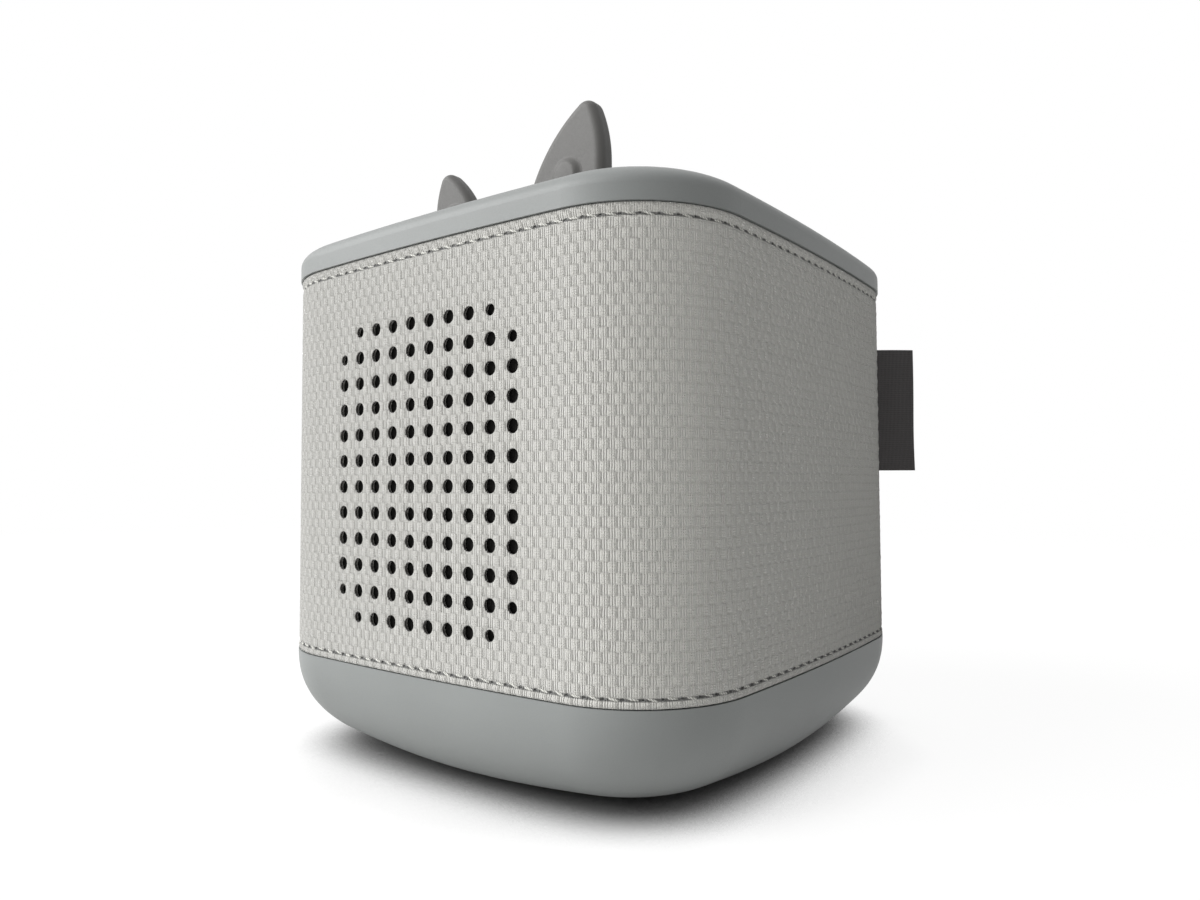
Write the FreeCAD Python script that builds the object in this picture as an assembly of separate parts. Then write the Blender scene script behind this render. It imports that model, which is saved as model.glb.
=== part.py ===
"""A soft cube-shaped audio story player with a perforated fabric wrap and two ear-shaped volume keys."""
import FreeCAD, Part
import math
import os

V = FreeCAD.Vector
X_AXIS = V(1, 0, 0)
Y_AXIS = V(0, 1, 0)
Z_AXIS = V(0, 0, 1)

# Frame: millimetres, +Z up, the floor at z = 0, the body's axis at x = y = 0, the speaker faces -Y.

# Body outline, a rounded square whose four sides bulge a little
body_half_width = 60.0
side_bulge = 0.94
corner_radius = 24.4

# Heights, from the floor up
base_height = 22.8
wrap_height = 87.4
cap_height = 9.5
seam_gap = 0.3

# Base shell, whose lower edge is a wide superellipse and whose plan gets rounder towards the floor.
# The edge takes a share of the half side between the body's middle and its corner arc.
base_overhang = 0.1
base_edge_share = 0.626
base_edge_power = 2.28
base_corner_shrink = 0.53
base_bulge_growth = 0.274
base_wall = 2.6
base_floor = 2.6

# Top cap, whose upper edge is a quarter of an ellipse
cap_overhang = 0.45
cap_edge_inset = 17.0
cap_edge_height = 6.2
cap_wall = 2.6

# Layers of the wrap, from the outside in
fabric_thickness = 1.3
sleeve_clearance = 0.15
foam_thickness = 5.8
cloth_thickness = 0.8

# Inner housing
flange_thickness = 2.0
deck_thickness = 2.4
housing_wall = 2.4

# Perforated field in the fabric
hole_columns = 10
hole_rows = 12
hole_pitch = 5.55
hole_radius = 1.36
end_hole_radius = 1.1
hole_sides = 8
grille_x = -0.6
grille_height = 40.8
grille_margin = 5.4

# Speaker, turned about an axis along Y
speaker_flange_radius = 29.0
speaker_ear_circle = 31.5
speaker_ear_radius = 3.3
speaker_seat_depth = 4.0
gasket_thickness = 1.6
flange_sheet = 1.2
basket_depth = 12.4
basket_back_radius = 17.5
surround_radius = 23.9
surround_roll = 1.3
surround_skin = 0.4
cone_clearance = 0.15
cone_skin = 0.6
coil_radius = 7.7
coil_wall = 0.5
coil_length = 10.4
pole_radius = 7.2
gap_outer_radius = 8.7
magnet_radius = 16.0
magnet_length = 7.0
top_plate_thickness = 2.0
yoke_thickness = 2.5
basket_window_width = 14.0
basket_window_margin = 2.5
basket_window_back_margin = 1.5
basket_wall = 1.2
gasket_gap = 0.2
cone_neck_setback = 5.0
cone_edge_width = 1.2
dust_cap_depth = 4.0
terminal_overlap = 0.8
terminal_length = 9.0
terminal_width = 7.0
speaker_screw_tip_gap = 2.4
speaker_pad_overlap = 0.4
sound_slot_bar = 2.0
sound_slot_margin = 5.0

# Battery pack and its bay
cell_radius = 7.25
cell_length = 50.0
cell_pitch = 14.7
cell_count = 3
cell_tip_length = 1.2
cell_tip_radius = 2.6
cell_gap = 0.3
terminal_thickness = 0.5
terminal_gap = 0.1
terminal_drop = 5.0
terminal_rise = 2.0
terminal_side_gap = 2.0
terminal_tail_width = 2.8
bay_clearance = 0.2
bay_side_clearance = 0.55
bay_wall = 1.8
bay_corner = 3.0
bay_inner_corner = 1.2
cradle_gap = 0.5
cradle_lid = 1.8
cradle_clearance = 0.1
cradle_notch_width = 3.6

# Battery door with the charging recess
door_margin_x = 4.9
door_margin_y = 2.5
door_thickness = 1.95
door_clearance = 0.2
door_recess = 0.3
door_corner = 10.0
dock_radius = 16.0
dock_depth = 4.5
dock_wall = 1.6
contact_radius = 1.5
contact_pitch = 6.0
contact_board_depth = 8.0
board_thickness = 1.0
door_pad_margin = 2.0
door_pad_thickness = 2.4
door_rib_thickness = 1.6
door_rib_setback = 5.0
door_rib_side_gap = 3.0
door_screw_length = 5.0
door_screw_wall = 1.5

# Screws
base_screw_inset = 21.0
base_screw_radius = 1.45
base_screw_head = 2.8
base_screw_head_height = 2.0
tower_radius = 4.2
tower_seat = 8.0
boss_radius = 4.0
boss_height = 9.6
boss_rib_thickness = 2.0
screw_tip_gap = 1.0
small_screw_radius = 0.95
small_screw_head = 1.8
small_screw_head_height = 1.2
cap_screw_inset = 20.0
cap_screw_hole = 7.0
cap_boss_radius = 3.2
board_screw_length = 6.0
ear_screw_length = 4.0
screw_clearance = 0.05
screw_hole_clearance = 0.15

# Ears. Each side of an ear is an upright line that runs into one large arc, and a small arc joins the two.
ear_setback = 30.0
ear_thickness = 5.2
ear_edge_round = 1.9
ear_skin = 1.0
ear_fit = 0.1
ear_slot = 0.3
ear_foot_depth = 16.0
ear_foot_thickness = 2.0
ear_foot_screw_inset = 2.2
ear_core_lift = 0.5
big_ear = {
    "left_x": 1.9, "left_rise": 4.3, "left_radius": 34.6,
    "right_x": 25.0, "right_rise": 20.9, "right_radius": 30.5,
    "tip_radius": 2.9, "key_x": 15.5, "key_rise": 18.3,
}
small_ear = {
    "left_x": -27.0, "left_rise": 16.9, "left_radius": 22.9,
    "right_x": -11.3, "right_rise": 5.75, "right_radius": 28.0,
    "tip_radius": 2.5, "key_x": -19.9, "key_rise": 15.2,
}

# Volume key inside each ear
key_radius = 3.65
key_slide_clearance = 0.1
key_dome_height = 1.2
key_flange_radius = 4.2
key_flange_thickness = 0.6
key_flange_clearance = 0.3
key_face_setback = 0.05
key_travel = 0.5
key_end_gap = 0.2
switch_side = 5.2
switch_depth = 1.2
plunger_radius = 1.2
plunger_overlap = 0.3
plunger_clearance = 0.08
ear_board_thickness = 0.6
ear_board_width = 6.4
ear_board_drop = 13.0
ear_board_rise = 3.0

# Main circuit board, upright near the back wall
main_board_back_gap = 12.6
main_board_thickness = 1.6
main_board_side_gap = 14.2
main_board_rise = 11.2
main_board_top_gap = 10.8
board_screw_inset = 4.0
board_post_radius = 3.0
board_post_gap = 1.5
connector_width = 5.0
connector_height = 4.4
connector_depth = 4.0
connector_top_gap = 8.0
connector_step = 8.0
battery_connector_inset = 16.0
battery_connector_rise = 9.0
speaker_connector_x = 14.0
speaker_connector_rise = 25.0
reader_connector_x = 2.0

# Chips on the main board, each placed from the board's left (-1) or right (1) side and its lower edge
processor = {"side": -1, "side_gap": 22.0, "rise": 37.5, "width": 12.0, "height": 12.0, "depth": 1.2}
memory_chip = {"side": -1, "side_gap": 8.0, "rise": 37.5, "width": 8.0, "height": 6.0, "depth": 1.0}
radio_module = {"side": 1, "side_gap": 12.0, "rise": 43.5, "width": 16.0, "height": 18.0, "depth": 2.4}
sound_amplifier = {"side": 1, "side_gap": 32.0, "rise": 19.5, "width": 6.0, "height": 6.0, "depth": 1.0}
charger_chip = {"side": 1, "side_gap": 8.0, "rise": 19.5, "width": 5.0, "height": 5.0, "depth": 1.0}

# Memory card and its socket, placed from the board's lower edge
card_side_gap = 10.0
card_rise = 22.0
card_width = 11.0
card_height = 15.0
card_thickness = 0.7
card_clearance = 0.1
card_socket_wall = 0.5
card_socket_side = 1.4
card_stop = 1.5

# Headphone socket through the back
jack_rise = 16.2
jack_bore_radius = 1.8
jack_bore_length = 16.0
jack_barrel_radius = 3.3
jack_body_width = 8.0
jack_body_height = 7.2
jack_gap = 0.4
bezel_radius = 5.6
bezel_neck_radius = 4.4
bezel_thickness = 1.0
bezel_round = 0.6
bezel_neck_clearance = 0.2
bezel_barrel_clearance = 0.1

# Reader board and magnets under the top
reader_side = 44.0
reader_corner = 3.0
reader_y = 8.0
reader_rise = 4.4
reader_thickness = 0.8
reader_post_radius = 2.2
reader_post_inset = 4.0
reader_chip_x = -11.0
reader_chip_side = 6.0
reader_chip_depth = 1.0
reader_lead_inset = 8.0
magnet_disc_radius = 4.0
magnet_circle = 13.0
magnet_disc_gap = 0.1

# Status light between the ears
light_x = -6.2
light_radius = 1.5
light_clearance = 0.1
light_stand_out = 0.1
light_side = 2.4
light_depth = 1.0
light_board_width = 3.8
light_board_length = 8.0
light_board_thickness = 0.8
light_pipe_gap = 0.2
light_collar_margin = 0.6
light_collar_thickness = 1.0

# Woven loop label in the seam at the rear right corner
tag_root_angle = 18.7
tag_lean_angle = 36.9
tag_length = 9.2
tag_sewn_length = 0.9
tag_low = 64.4
tag_width = 31.0
tag_layer = 0.45
tag_gap = 0.3

# Leads
lead_radius = 0.7
ear_lead_radius = 0.4
lead_hole_radius = 1.3
bend_share = 0.45
battery_lead_rise = 11.0
battery_lead_end_share = 0.454
speaker_lead_pitch = 2.6
speaker_lead_start_share = 0.262
speaker_lead_end_share = 0.29
ear_lead_drop = 15.0
light_lead_drop = 12.0
reader_lead_drop = 19.0
reader_lead_end_share = 0.5
lead_middle_share = 0.56
lead_middle_lift = 4.0
lead_end_share = 0.156

# How far a cutting shape starts outside the piece that it cuts
overshoot = 1.0

# Places that follow from the sizes above
wrap_bottom = base_height
deck_top = base_height + wrap_height
deck_bottom = deck_top - deck_thickness
cap_top = deck_top + cap_height
cap_underside = cap_top - cap_wall
flange_inset = fabric_thickness + sleeve_clearance
wall_inset = flange_inset + foam_thickness + sleeve_clearance
cavity_inset = wall_inset + housing_wall
front_wall_y = -(body_half_width - wall_inset)
back_wall_y = body_half_width - wall_inset
grille_z = base_height + grille_height
speaker_seat_y = front_wall_y + speaker_seat_depth
flange_front_y = speaker_seat_y + gasket_thickness
flange_back_y = flange_front_y + flange_sheet
basket_back_y = flange_front_y + basket_depth
top_plate_y = basket_back_y + flange_sheet
magnet_y = top_plate_y + top_plate_thickness
yoke_y = magnet_y + magnet_length
ear_plane = ear_setback - body_half_width
ear_front_y = ear_plane - ear_thickness / 2
ear_back_y = ear_plane + ear_thickness / 2
bay_length = cell_length + 2 * (terminal_thickness + bay_clearance)
bay_width = 2 * cell_radius + (cell_count - 1) * cell_pitch + 2 * bay_side_clearance
base_screw_offset = body_half_width - base_screw_inset
cap_screw_offset = body_half_width - cap_screw_inset
main_board_y = back_wall_y - main_board_back_gap
main_board_half_width = body_half_width - cavity_inset - main_board_side_gap
main_board_low = base_height + main_board_rise
card_x = card_side_gap - main_board_half_width
main_board_high = deck_bottom - main_board_top_gap
dock_roof = dock_depth + dock_wall
cell_z = dock_roof + board_thickness + cell_gap + cell_radius
cradle_z = cell_z + cell_radius + cradle_gap
door_screw_seat = door_recess + small_screw_head_height
jack_z = base_height + jack_rise
base_edge_inset = base_edge_share * (body_half_width + base_overhang - corner_radius)
core_half = body_half_width - corner_radius - side_bulge
core_radius = (core_half ** 2 + side_bulge ** 2) / (2 * side_bulge)
side_swing = math.degrees(math.asin(core_half / core_radius))
gasket_radius = speaker_ear_circle - speaker_ear_radius - gasket_gap


# ---------- shapes used all over ----------

def box(x_range, y_range, z_range):
    size = [b - a for a, b in (x_range, y_range, z_range)]
    return Part.makeBox(size[0], size[1], size[2], V(x_range[0], y_range[0], z_range[0]))


def rod(start, direction, radius, length):
    return Part.makeCylinder(radius, length, start, direction)


def pipe(start, direction, outer, inner, length):
    return rod(start, direction, outer, length).cut(rod(start, direction, inner, length))


def joined(shapes):
    if len(shapes) == 1:
        return shapes[0]
    return shapes[0].multiFuse(shapes[1:]).removeSplitter()


def without(shape, tools):
    return shape.cut(tools)


def corners(offset_x, offset_y):
    return [(sx * offset_x, sy * offset_y) for sx in (-1, 1) for sy in (-1, 1)]


def arc_edge(centre, radius, start_angle, end_angle):
    circle = Part.Circle(centre, Z_AXIS, radius)
    return Part.ArcOfCircle(circle, start_angle, end_angle).toShape()


def plan_wire(half, bulge, corner, z):
    """A rounded square at height z. The bulge is how far each side's arc rises over its own length."""
    core = half - corner - bulge
    core_radius = (core ** 2 + bulge ** 2) / (2 * bulge)
    swing = math.asin(core / core_radius)
    side_centre = V(0, core_radius - (half - corner), z)
    edges = []
    for quarter in range(4):
        side = arc_edge(side_centre, core_radius + corner, -math.pi / 2 - swing, -math.pi / 2 + swing)
        turn = arc_edge(V(core, -core, z), corner, -math.pi / 2 + swing, -swing)
        for edge in (side, turn):
            edge.rotate(V(0, 0, 0), Z_AXIS, 90 * quarter)
            edges.append(edge)
    return Part.Wire(edges)


def body_wire(inset, z):
    return plan_wire(body_half_width - inset, side_bulge, corner_radius - inset, z)


def body_prism(inset, low, high):
    return Part.Face(body_wire(inset, low)).extrude(V(0, 0, high - low))


def body_ring(outer_inset, inner_inset, low, high):
    return body_prism(outer_inset, low, high).cut(body_prism(inner_inset, low, high))


def rounded_plate(size_x, size_y, corner, low, high):
    plate = box((-size_x / 2, size_x / 2), (-size_y / 2, size_y / 2), (low, high))
    upright = [e for e in plate.Edges if abs(e.tangentAt(e.FirstParameter).z) > 0.99]
    return plate.makeFillet(corner, upright)


def turned(profile, centre_x, centre_z):
    """Turns a closed (radius, y) profile about the line along Y through centre_x and centre_z."""
    points = [V(radius, y, 0) for radius, y in profile]
    face = Part.Face(Part.makePolygon(points + points[:1]))
    solid = face.revolve(V(0, 0, 0), Y_AXIS, 360)
    solid.translate(V(centre_x, 0, centre_z))
    return solid


def superellipse(step, steps, power):
    """Shares of the inset and of the height at one step along a quarter of a superellipse."""
    angle = math.pi / 2 * step / steps
    return 1 - max(math.cos(angle), 0) ** (2 / power), math.sin(angle) ** (2 / power)


# ---------- base ----------

def base_form(inset, floor, steps, ruled):
    """The base's outer form, or its cavity when it is inset and has a floor."""
    wires = []
    for step in range(steps + 1):
        inset_share, drop_share = superellipse(step, steps, base_edge_power)
        edge_inset = base_edge_inset * inset_share
        half = body_half_width + base_overhang - inset - edge_inset
        bulge = side_bulge + base_bulge_growth * edge_inset
        corner = corner_radius - inset - base_corner_shrink * edge_inset
        z = base_height - (base_height - floor) * drop_share
        wires.append(plan_wire(half, bulge, corner, z))
    return Part.makeLoft(wires, True, ruled)


def door_outline(growth, low, high):
    size_x = bay_length + 2 * door_margin_x + 2 * growth
    size_y = bay_width + 2 * door_margin_y + 2 * growth
    return rounded_plate(size_x, size_y, door_corner + growth, low, high)


def door_screw_places():
    offset = (bay_length + door_margin_x) / 2
    return [(-offset, 0), (offset, 0)]


def base_shell():
    outer = base_form(0, 0, 8, False)
    seat = door_recess + door_thickness
    in_floor = base_floor / 2
    additions = [door_outline(door_pad_margin, in_floor, seat + door_pad_thickness)]
    additions.append(rounded_plate(bay_length + 2 * bay_wall, bay_width + 2 * bay_wall, bay_corner, in_floor,
                                   cradle_z))
    for x, y in corners(base_screw_offset, base_screw_offset):
        additions.append(rod(V(x, y, 0), Z_AXIS, tower_radius, base_height).common(outer))
    for x, y in door_screw_places():
        additions.append(rod(V(x, y, in_floor), Z_AXIS, small_screw_radius + door_screw_wall, tower_seat))
    shell = outer.cut(base_form(base_wall, base_floor, 4, True))
    shell = joined([shell] + additions)
    tools = [door_outline(door_clearance, -overshoot, seat)]
    tools.append(rounded_plate(bay_length, bay_width, bay_inner_corner, -overshoot, cradle_z + overshoot))
    for x, y in corners(base_screw_offset, base_screw_offset):
        tools.append(rod(V(x, y, -overshoot), Z_AXIS, base_screw_head + 2 * screw_hole_clearance,
                         tower_seat + overshoot))
        tools.append(rod(V(x, y, -overshoot), Z_AXIS, base_screw_radius + screw_hole_clearance,
                         base_height + 2 * overshoot))
    for x, y in door_screw_places():
        tools.append(rod(V(x, y, 0), Z_AXIS, small_screw_radius + screw_clearance, tower_seat))
    return without(shell, tools)


def battery_door():
    """A flush door with ribs under the outer cells and a round recess for a charging foot."""
    plate = door_outline(0, door_recess, door_recess + door_thickness)
    parts = [plate, rod(V(0, 0, door_recess), Z_AXIS, dock_radius + dock_wall, dock_roof - door_recess)]
    rib_x = bay_length / 2 - door_rib_setback
    rib_side = bay_width / 2 - door_rib_side_gap
    rib_top = cell_z - cell_radius - cell_gap
    half = door_rib_thickness / 2
    for x in (-rib_x, rib_x):
        parts.append(box((x - half, x + half), (-rib_side, rib_side), (door_recess + half, rib_top)))
    tools = [rod(V(0, 0, -overshoot), Z_AXIS, dock_radius, dock_depth + overshoot)]
    for x in contact_places():
        tools.append(rod(V(x, 0, 0), Z_AXIS, contact_radius + screw_clearance, dock_roof + overshoot))
    for x, y in door_screw_places():
        tools.append(rod(V(x, y, -overshoot), Z_AXIS, small_screw_head + screw_hole_clearance,
                         overshoot + door_screw_seat))
        tools.append(rod(V(x, y, -overshoot), Z_AXIS, small_screw_radius + screw_hole_clearance,
                         door_thickness + 2 * overshoot))
    return without(joined(parts), tools)


def contact_places():
    return [-contact_pitch, 0, contact_pitch]


def charge_contacts():
    pads = [rod(V(x, 0, dock_depth), Z_AXIS, contact_radius, dock_wall) for x in contact_places()]
    return Part.makeCompound(pads)


def contact_board():
    half = contact_pitch + 2 * contact_radius
    half_depth = contact_board_depth / 2
    return box((-half, half), (-half_depth, half_depth), (dock_roof, dock_roof + board_thickness))


def screw(head_base, direction, length, radius, head_radius, head_height):
    """A pan-head screw that points along direction. head_base is the centre of the face under its head."""
    head = rod(head_base - direction * head_height, direction, head_radius, head_height)
    return joined([head, rod(head_base, direction, radius, length)])


def base_screws():
    length = base_height + boss_height - screw_tip_gap - tower_seat
    places = corners(base_screw_offset, base_screw_offset)
    shapes = [screw(V(x, y, tower_seat), Z_AXIS, length, base_screw_radius, base_screw_head,
                    base_screw_head_height) for x, y in places]
    return Part.makeCompound(shapes)


def door_screws():
    shapes = [screw(V(x, y, door_screw_seat), Z_AXIS, door_screw_length, small_screw_radius,
                    small_screw_head, small_screw_head_height) for x, y in door_screw_places()]
    return Part.makeCompound(shapes)


# ---------- battery ----------

def cell_rows():
    return [(row - (cell_count - 1) / 2) * cell_pitch for row in range(cell_count)]


def battery_cells():
    cells = []
    body = cell_length - cell_tip_length
    for number, y in enumerate(cell_rows()):
        towards = 1 if number % 2 else -1
        start = V(-towards * cell_length / 2, y, cell_z)
        parts = [rod(start, X_AXIS * towards, cell_radius, body)]
        parts.append(rod(start, X_AXIS * towards, cell_tip_radius, cell_length))
        cells.append(joined(parts))
    return Part.makeCompound(cells)


def battery_terminals():
    """An end plate at each end of the cells, with a tail that carries a lead."""
    inner = cell_length / 2 + terminal_gap
    half_plate = bay_width / 2 - terminal_side_gap
    half_tail = terminal_tail_width / 2
    plate_top = cell_z + terminal_rise
    shapes = []
    for side in (-1, 1):
        span = sorted((side * inner, side * (inner + terminal_thickness)))
        plate = box(span, (-half_plate, half_plate), (cell_z - terminal_drop, plate_top))
        tail = box(span, (cell_pitch / 2 - half_tail, cell_pitch / 2 + half_tail), (plate_top, cradle_z))
        shapes.append(joined([plate, tail]))
    return Part.makeCompound(shapes)


def battery_cradle():
    """The lid of the battery bay, whose underside holds the cells in round troughs."""
    half_length = cell_length / 2 - cradle_clearance
    half_width = bay_width / 2 - bay_clearance
    lid_top = cradle_z + cradle_lid
    block = box((-half_length, half_length), (-half_width, half_width),
                (cell_z + terminal_rise, cradle_z + cradle_lid / 2))
    lid = rounded_plate(bay_length + 2 * bay_wall, bay_width + 2 * bay_wall, bay_corner, cradle_z, lid_top)
    tools = [rod(V(-cell_length, y, cell_z), X_AXIS, cell_radius + cradle_clearance, 2 * cell_length)
             for y in cell_rows()]
    notch_x = half_length - terminal_thickness
    notch_y = (cell_pitch / 2 - cradle_notch_width / 2, cell_pitch / 2 + cradle_notch_width / 2)
    for span in ((-2 * notch_x, -notch_x), (notch_x, 2 * notch_x)):
        tools.append(box(span, notch_y, (0, lid_top + overshoot)))
    return without(joined([block, lid]), tools)


# ---------- inner housing and wrap ----------

def speaker_ear_places():
    offset = speaker_ear_circle / math.sqrt(2)
    return [(grille_x + x, grille_z + z) for x, z in corners(offset, offset)]


def sound_slots(depth_range):
    """Upright slots in line with the columns of holes, as long as the speaker's opening lets them be."""
    slot_width = hole_pitch - sound_slot_bar
    opening = speaker_flange_radius - sound_slot_margin
    slots = []
    for column in range(hole_columns - 1):
        x = (column - (hole_columns - 2) / 2) * hole_pitch
        if abs(x) < opening - slot_width:
            half = math.sqrt(opening ** 2 - (abs(x) + slot_width / 2) ** 2)
            slots.append(box((grille_x + x - slot_width / 2, grille_x + x + slot_width / 2), depth_range,
                             (grille_z - half, grille_z + half)))
    return slots


def board_screw_places():
    low = main_board_low + board_screw_inset
    high = main_board_high - board_screw_inset
    side = main_board_half_width - board_screw_inset
    return [(x, z) for x in (-side, side) for z in (low, high)]


def reader_posts():
    offset = reader_side / 2 - reader_post_inset
    return [(x, reader_y + y) for x, y in corners(offset, offset)]


def foot_screw_places(ear):
    x = (ear["left_x"] + ear["right_x"]) / 2
    offset = ear_foot_depth / 2 - ear_foot_screw_inset
    return [(x, ear_plane - offset), (x, ear_plane + offset)]


def inner_housing():
    low = base_height
    parts = [body_prism(wall_inset, low, deck_top)]
    parts.append(body_prism(flange_inset, low, low + flange_thickness))
    parts.append(body_prism(flange_inset, deck_bottom, deck_top))
    housing = joined(parts).cut(body_prism(cavity_inset, low - 1, deck_bottom))
    seat_start = front_wall_y + speaker_pad_overlap
    seat_length = speaker_seat_y - seat_start
    additions = [rod(V(grille_x, seat_start, grille_z), Y_AXIS, speaker_flange_radius, seat_length)]
    for x, z in speaker_ear_places():
        additions.append(rod(V(x, seat_start, z), Y_AXIS, speaker_ear_radius, flange_front_y - seat_start))
    board_back = main_board_y + main_board_thickness
    for x, z in board_screw_places():
        additions.append(rod(V(x, board_back, z), Y_AXIS, board_post_radius,
                             back_wall_y - board_post_gap - board_back))
    for x, y in corners(base_screw_offset, base_screw_offset):
        additions.append(rod(V(x, y, low), Z_AXIS, boss_radius, boss_height))
        corner_reach = core_half + (corner_radius - cavity_inset) / math.sqrt(2)
        reach = (corner_reach - base_screw_offset) * math.sqrt(2)
        rib = box((0, reach + housing_wall / 2), (-boss_rib_thickness / 2, boss_rib_thickness / 2),
                  (low, low + boss_height))
        rib.rotate(V(0, 0, 0), Z_AXIS, math.degrees(math.atan2(y, x)))
        rib.translate(V(x, y, 0))
        additions.append(rib)
    for x, y in reader_posts():
        additions.append(rod(V(x, y, deck_top), Z_AXIS, reader_post_radius, reader_rise))
    housing = joined([housing] + additions)
    tools = sound_slots((front_wall_y - 2, speaker_seat_y + 1))
    for x, z in speaker_ear_places():
        tools.append(rod(V(x, front_wall_y + 1.2, z), Y_AXIS, small_screw_radius + screw_clearance, 9))
    for x, z in board_screw_places():
        tools.append(rod(V(x, board_back - 1, z), Y_AXIS, small_screw_radius + screw_clearance, 7))
    for x, y in corners(base_screw_offset, base_screw_offset):
        tools.append(rod(V(x, y, low - 1), Z_AXIS, base_screw_radius + screw_clearance, boss_height))
    for x, y in corners(cap_screw_offset, cap_screw_offset):
        tools.append(rod(V(x, y, deck_bottom - 1), Z_AXIS, small_screw_radius + 0.25, deck_thickness + 2))
    for ear in (big_ear, small_ear):
        for x, y in foot_screw_places(ear):
            tools.append(rod(V(x, y, deck_bottom - 1), Z_AXIS, small_screw_radius + screw_clearance,
                             deck_thickness + 2))
        tools.append(rod(V(ear["key_x"], ear_lead_y(), deck_bottom - 1), Z_AXIS, lead_hole_radius,
                         deck_thickness + 2))
    tools.append(rod(V(light_x, ear_plane, deck_bottom - 1), Z_AXIS, lead_hole_radius, deck_thickness + 2))
    tools.append(rod(V(0, reader_lead_y(), deck_bottom - 1), Z_AXIS, lead_hole_radius, deck_thickness + 2))
    tools.append(rod(V(0, back_wall_y - housing_wall - 2, jack_z), Y_AXIS, bezel_neck_radius + 0.2,
                     housing_wall + 4))
    return without(housing, tools)


def window_size():
    """Half sizes of the window behind the perforated field."""
    half_x = (hole_columns - 1) * hole_pitch / 2 + grille_margin
    half_z = (hole_rows - 1) * hole_pitch / 2 + grille_margin
    return half_x, half_z


def window_box(growth):
    half_x, half_z = window_size()
    return box((grille_x - half_x - growth, grille_x + half_x + growth), (-2 * body_half_width, 0),
               (grille_z - half_z - growth, grille_z + half_z + growth))


def jack_hole():
    return rod(V(0, 0, jack_z), Y_AXIS, bezel_neck_radius + bezel_neck_clearance, 2 * body_half_width)


def foam_sleeve():
    inset = flange_inset
    ring = body_ring(inset, inset + foam_thickness, base_height + flange_thickness, deck_bottom)
    return without(ring, [window_box(0), jack_hole()])


def speaker_cloth():
    ring = body_ring(flange_inset, flange_inset + cloth_thickness, base_height, deck_top)
    return ring.common(window_box(-0.1))


def punch(x, z, radius):
    """One punch through the front, a prism with hole_sides flats."""
    start = 2 * math.pi / hole_sides / 2
    points = []
    for side in range(hole_sides + 1):
        angle = start + 2 * math.pi * side / hole_sides
        points.append(V(x + radius * math.cos(angle), -body_half_width - 2, z + radius * math.sin(angle)))
    return Part.Face(Part.makePolygon(points)).extrude(V(0, 2 * fabric_thickness + 4, 0))


def perforations():
    """A rounded field of holes: its corner holes are left out and those beside them are smaller."""
    tools = []
    for row in range(hole_rows):
        for column in range(hole_columns):
            from_corner = min(row, hole_rows - 1 - row) + min(column, hole_columns - 1 - column)
            if from_corner == 0:
                continue
            radius = end_hole_radius if from_corner == 1 else hole_radius
            x = grille_x + (column - (hole_columns - 1) / 2) * hole_pitch
            z = grille_z + (row - (hole_rows - 1) / 2) * hole_pitch
            tools.append(punch(x, z, radius))
    return tools


def fabric_wrap():
    ring = body_ring(0, fabric_thickness, base_height + seam_gap, deck_top - seam_gap)
    return without(ring, perforations() + [jack_hole()])


def side_tag():
    """A strip folded once round, its two ends sewn into the corner seam."""
    angle = math.radians(tag_root_angle)
    root = V(core_half + corner_radius * math.cos(angle), core_half + corner_radius * math.sin(angle),
             tag_low)
    half = tag_layer + tag_gap / 2
    straight = tag_length - half
    loop = box((-tag_sewn_length, straight), (-half, half), (0, tag_width))
    loop = joined([loop, rod(V(straight, 0, 0), Z_AXIS, half, tag_width)])
    slit = box((-tag_sewn_length - 1, straight), (-tag_gap / 2, tag_gap / 2), (-1, tag_width + 1))
    loop = without(loop, [slit])
    loop.rotate(V(0, 0, 0), Z_AXIS, tag_lean_angle)
    loop.translate(root)
    return loop


# ---------- top cap ----------

def edge_profile(axis_x):
    """Half of the cap's section, from an axis at axis_x out to its side, in the plane y = 0."""
    side = axis_x + corner_radius + cap_overhang
    shoulder = cap_top - cap_edge_height
    crown = side - cap_edge_inset
    ellipse = Part.Ellipse(V(side, 0, shoulder), V(crown, 0, cap_top), V(crown, 0, shoulder))
    edges = [Part.makeLine(V(axis_x, 0, deck_top), V(side, 0, deck_top))]
    edges.append(Part.makeLine(V(side, 0, deck_top), V(side, 0, shoulder)))
    edges.append(Part.Arc(ellipse, 0, math.pi / 2).toShape())
    edges.append(Part.makeLine(V(crown, 0, cap_top), V(axis_x, 0, cap_top)))
    edges.append(Part.makeLine(V(axis_x, 0, cap_top), V(axis_x, 0, deck_top)))
    return Part.Face(Part.Wire(edges))


def swept_section(axis_x, centre, start_angle, sweep_angle):
    """The cap's section turned about an upright axis, which is then moved to centre."""
    section = edge_profile(axis_x)
    section.rotate(V(0, 0, 0), Z_AXIS, start_angle)
    solid = section.revolve(V(0, 0, 0), Z_AXIS, sweep_angle)
    solid.translate(centre)
    return solid


def cap_block():
    """The cap's outer form: four corners and four bulged sides turned about their own centres."""
    far_centre = V(0, core_radius - core_half - side_bulge, 0)
    arcs = []
    parts = []
    for quarter in range(4):
        side_start = -90 - side_swing
        arc = arc_edge(far_centre + V(0, 0, deck_top), core_radius, math.radians(side_start),
                       math.radians(side_start + 2 * side_swing))
        side = swept_section(core_radius, far_centre, side_start, 2 * side_swing)
        turn = swept_section(0, V(core_half, -core_half, 0), -90 + side_swing, 90 - 2 * side_swing)
        for shape in (arc, side, turn):
            shape.rotate(V(0, 0, 0), Z_AXIS, 90 * quarter)
        arcs.append(arc)
        parts += [side, turn]
    core = Part.Face(Part.Wire(arcs)).extrude(V(0, 0, cap_height))
    return joined([core] + parts)


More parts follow.
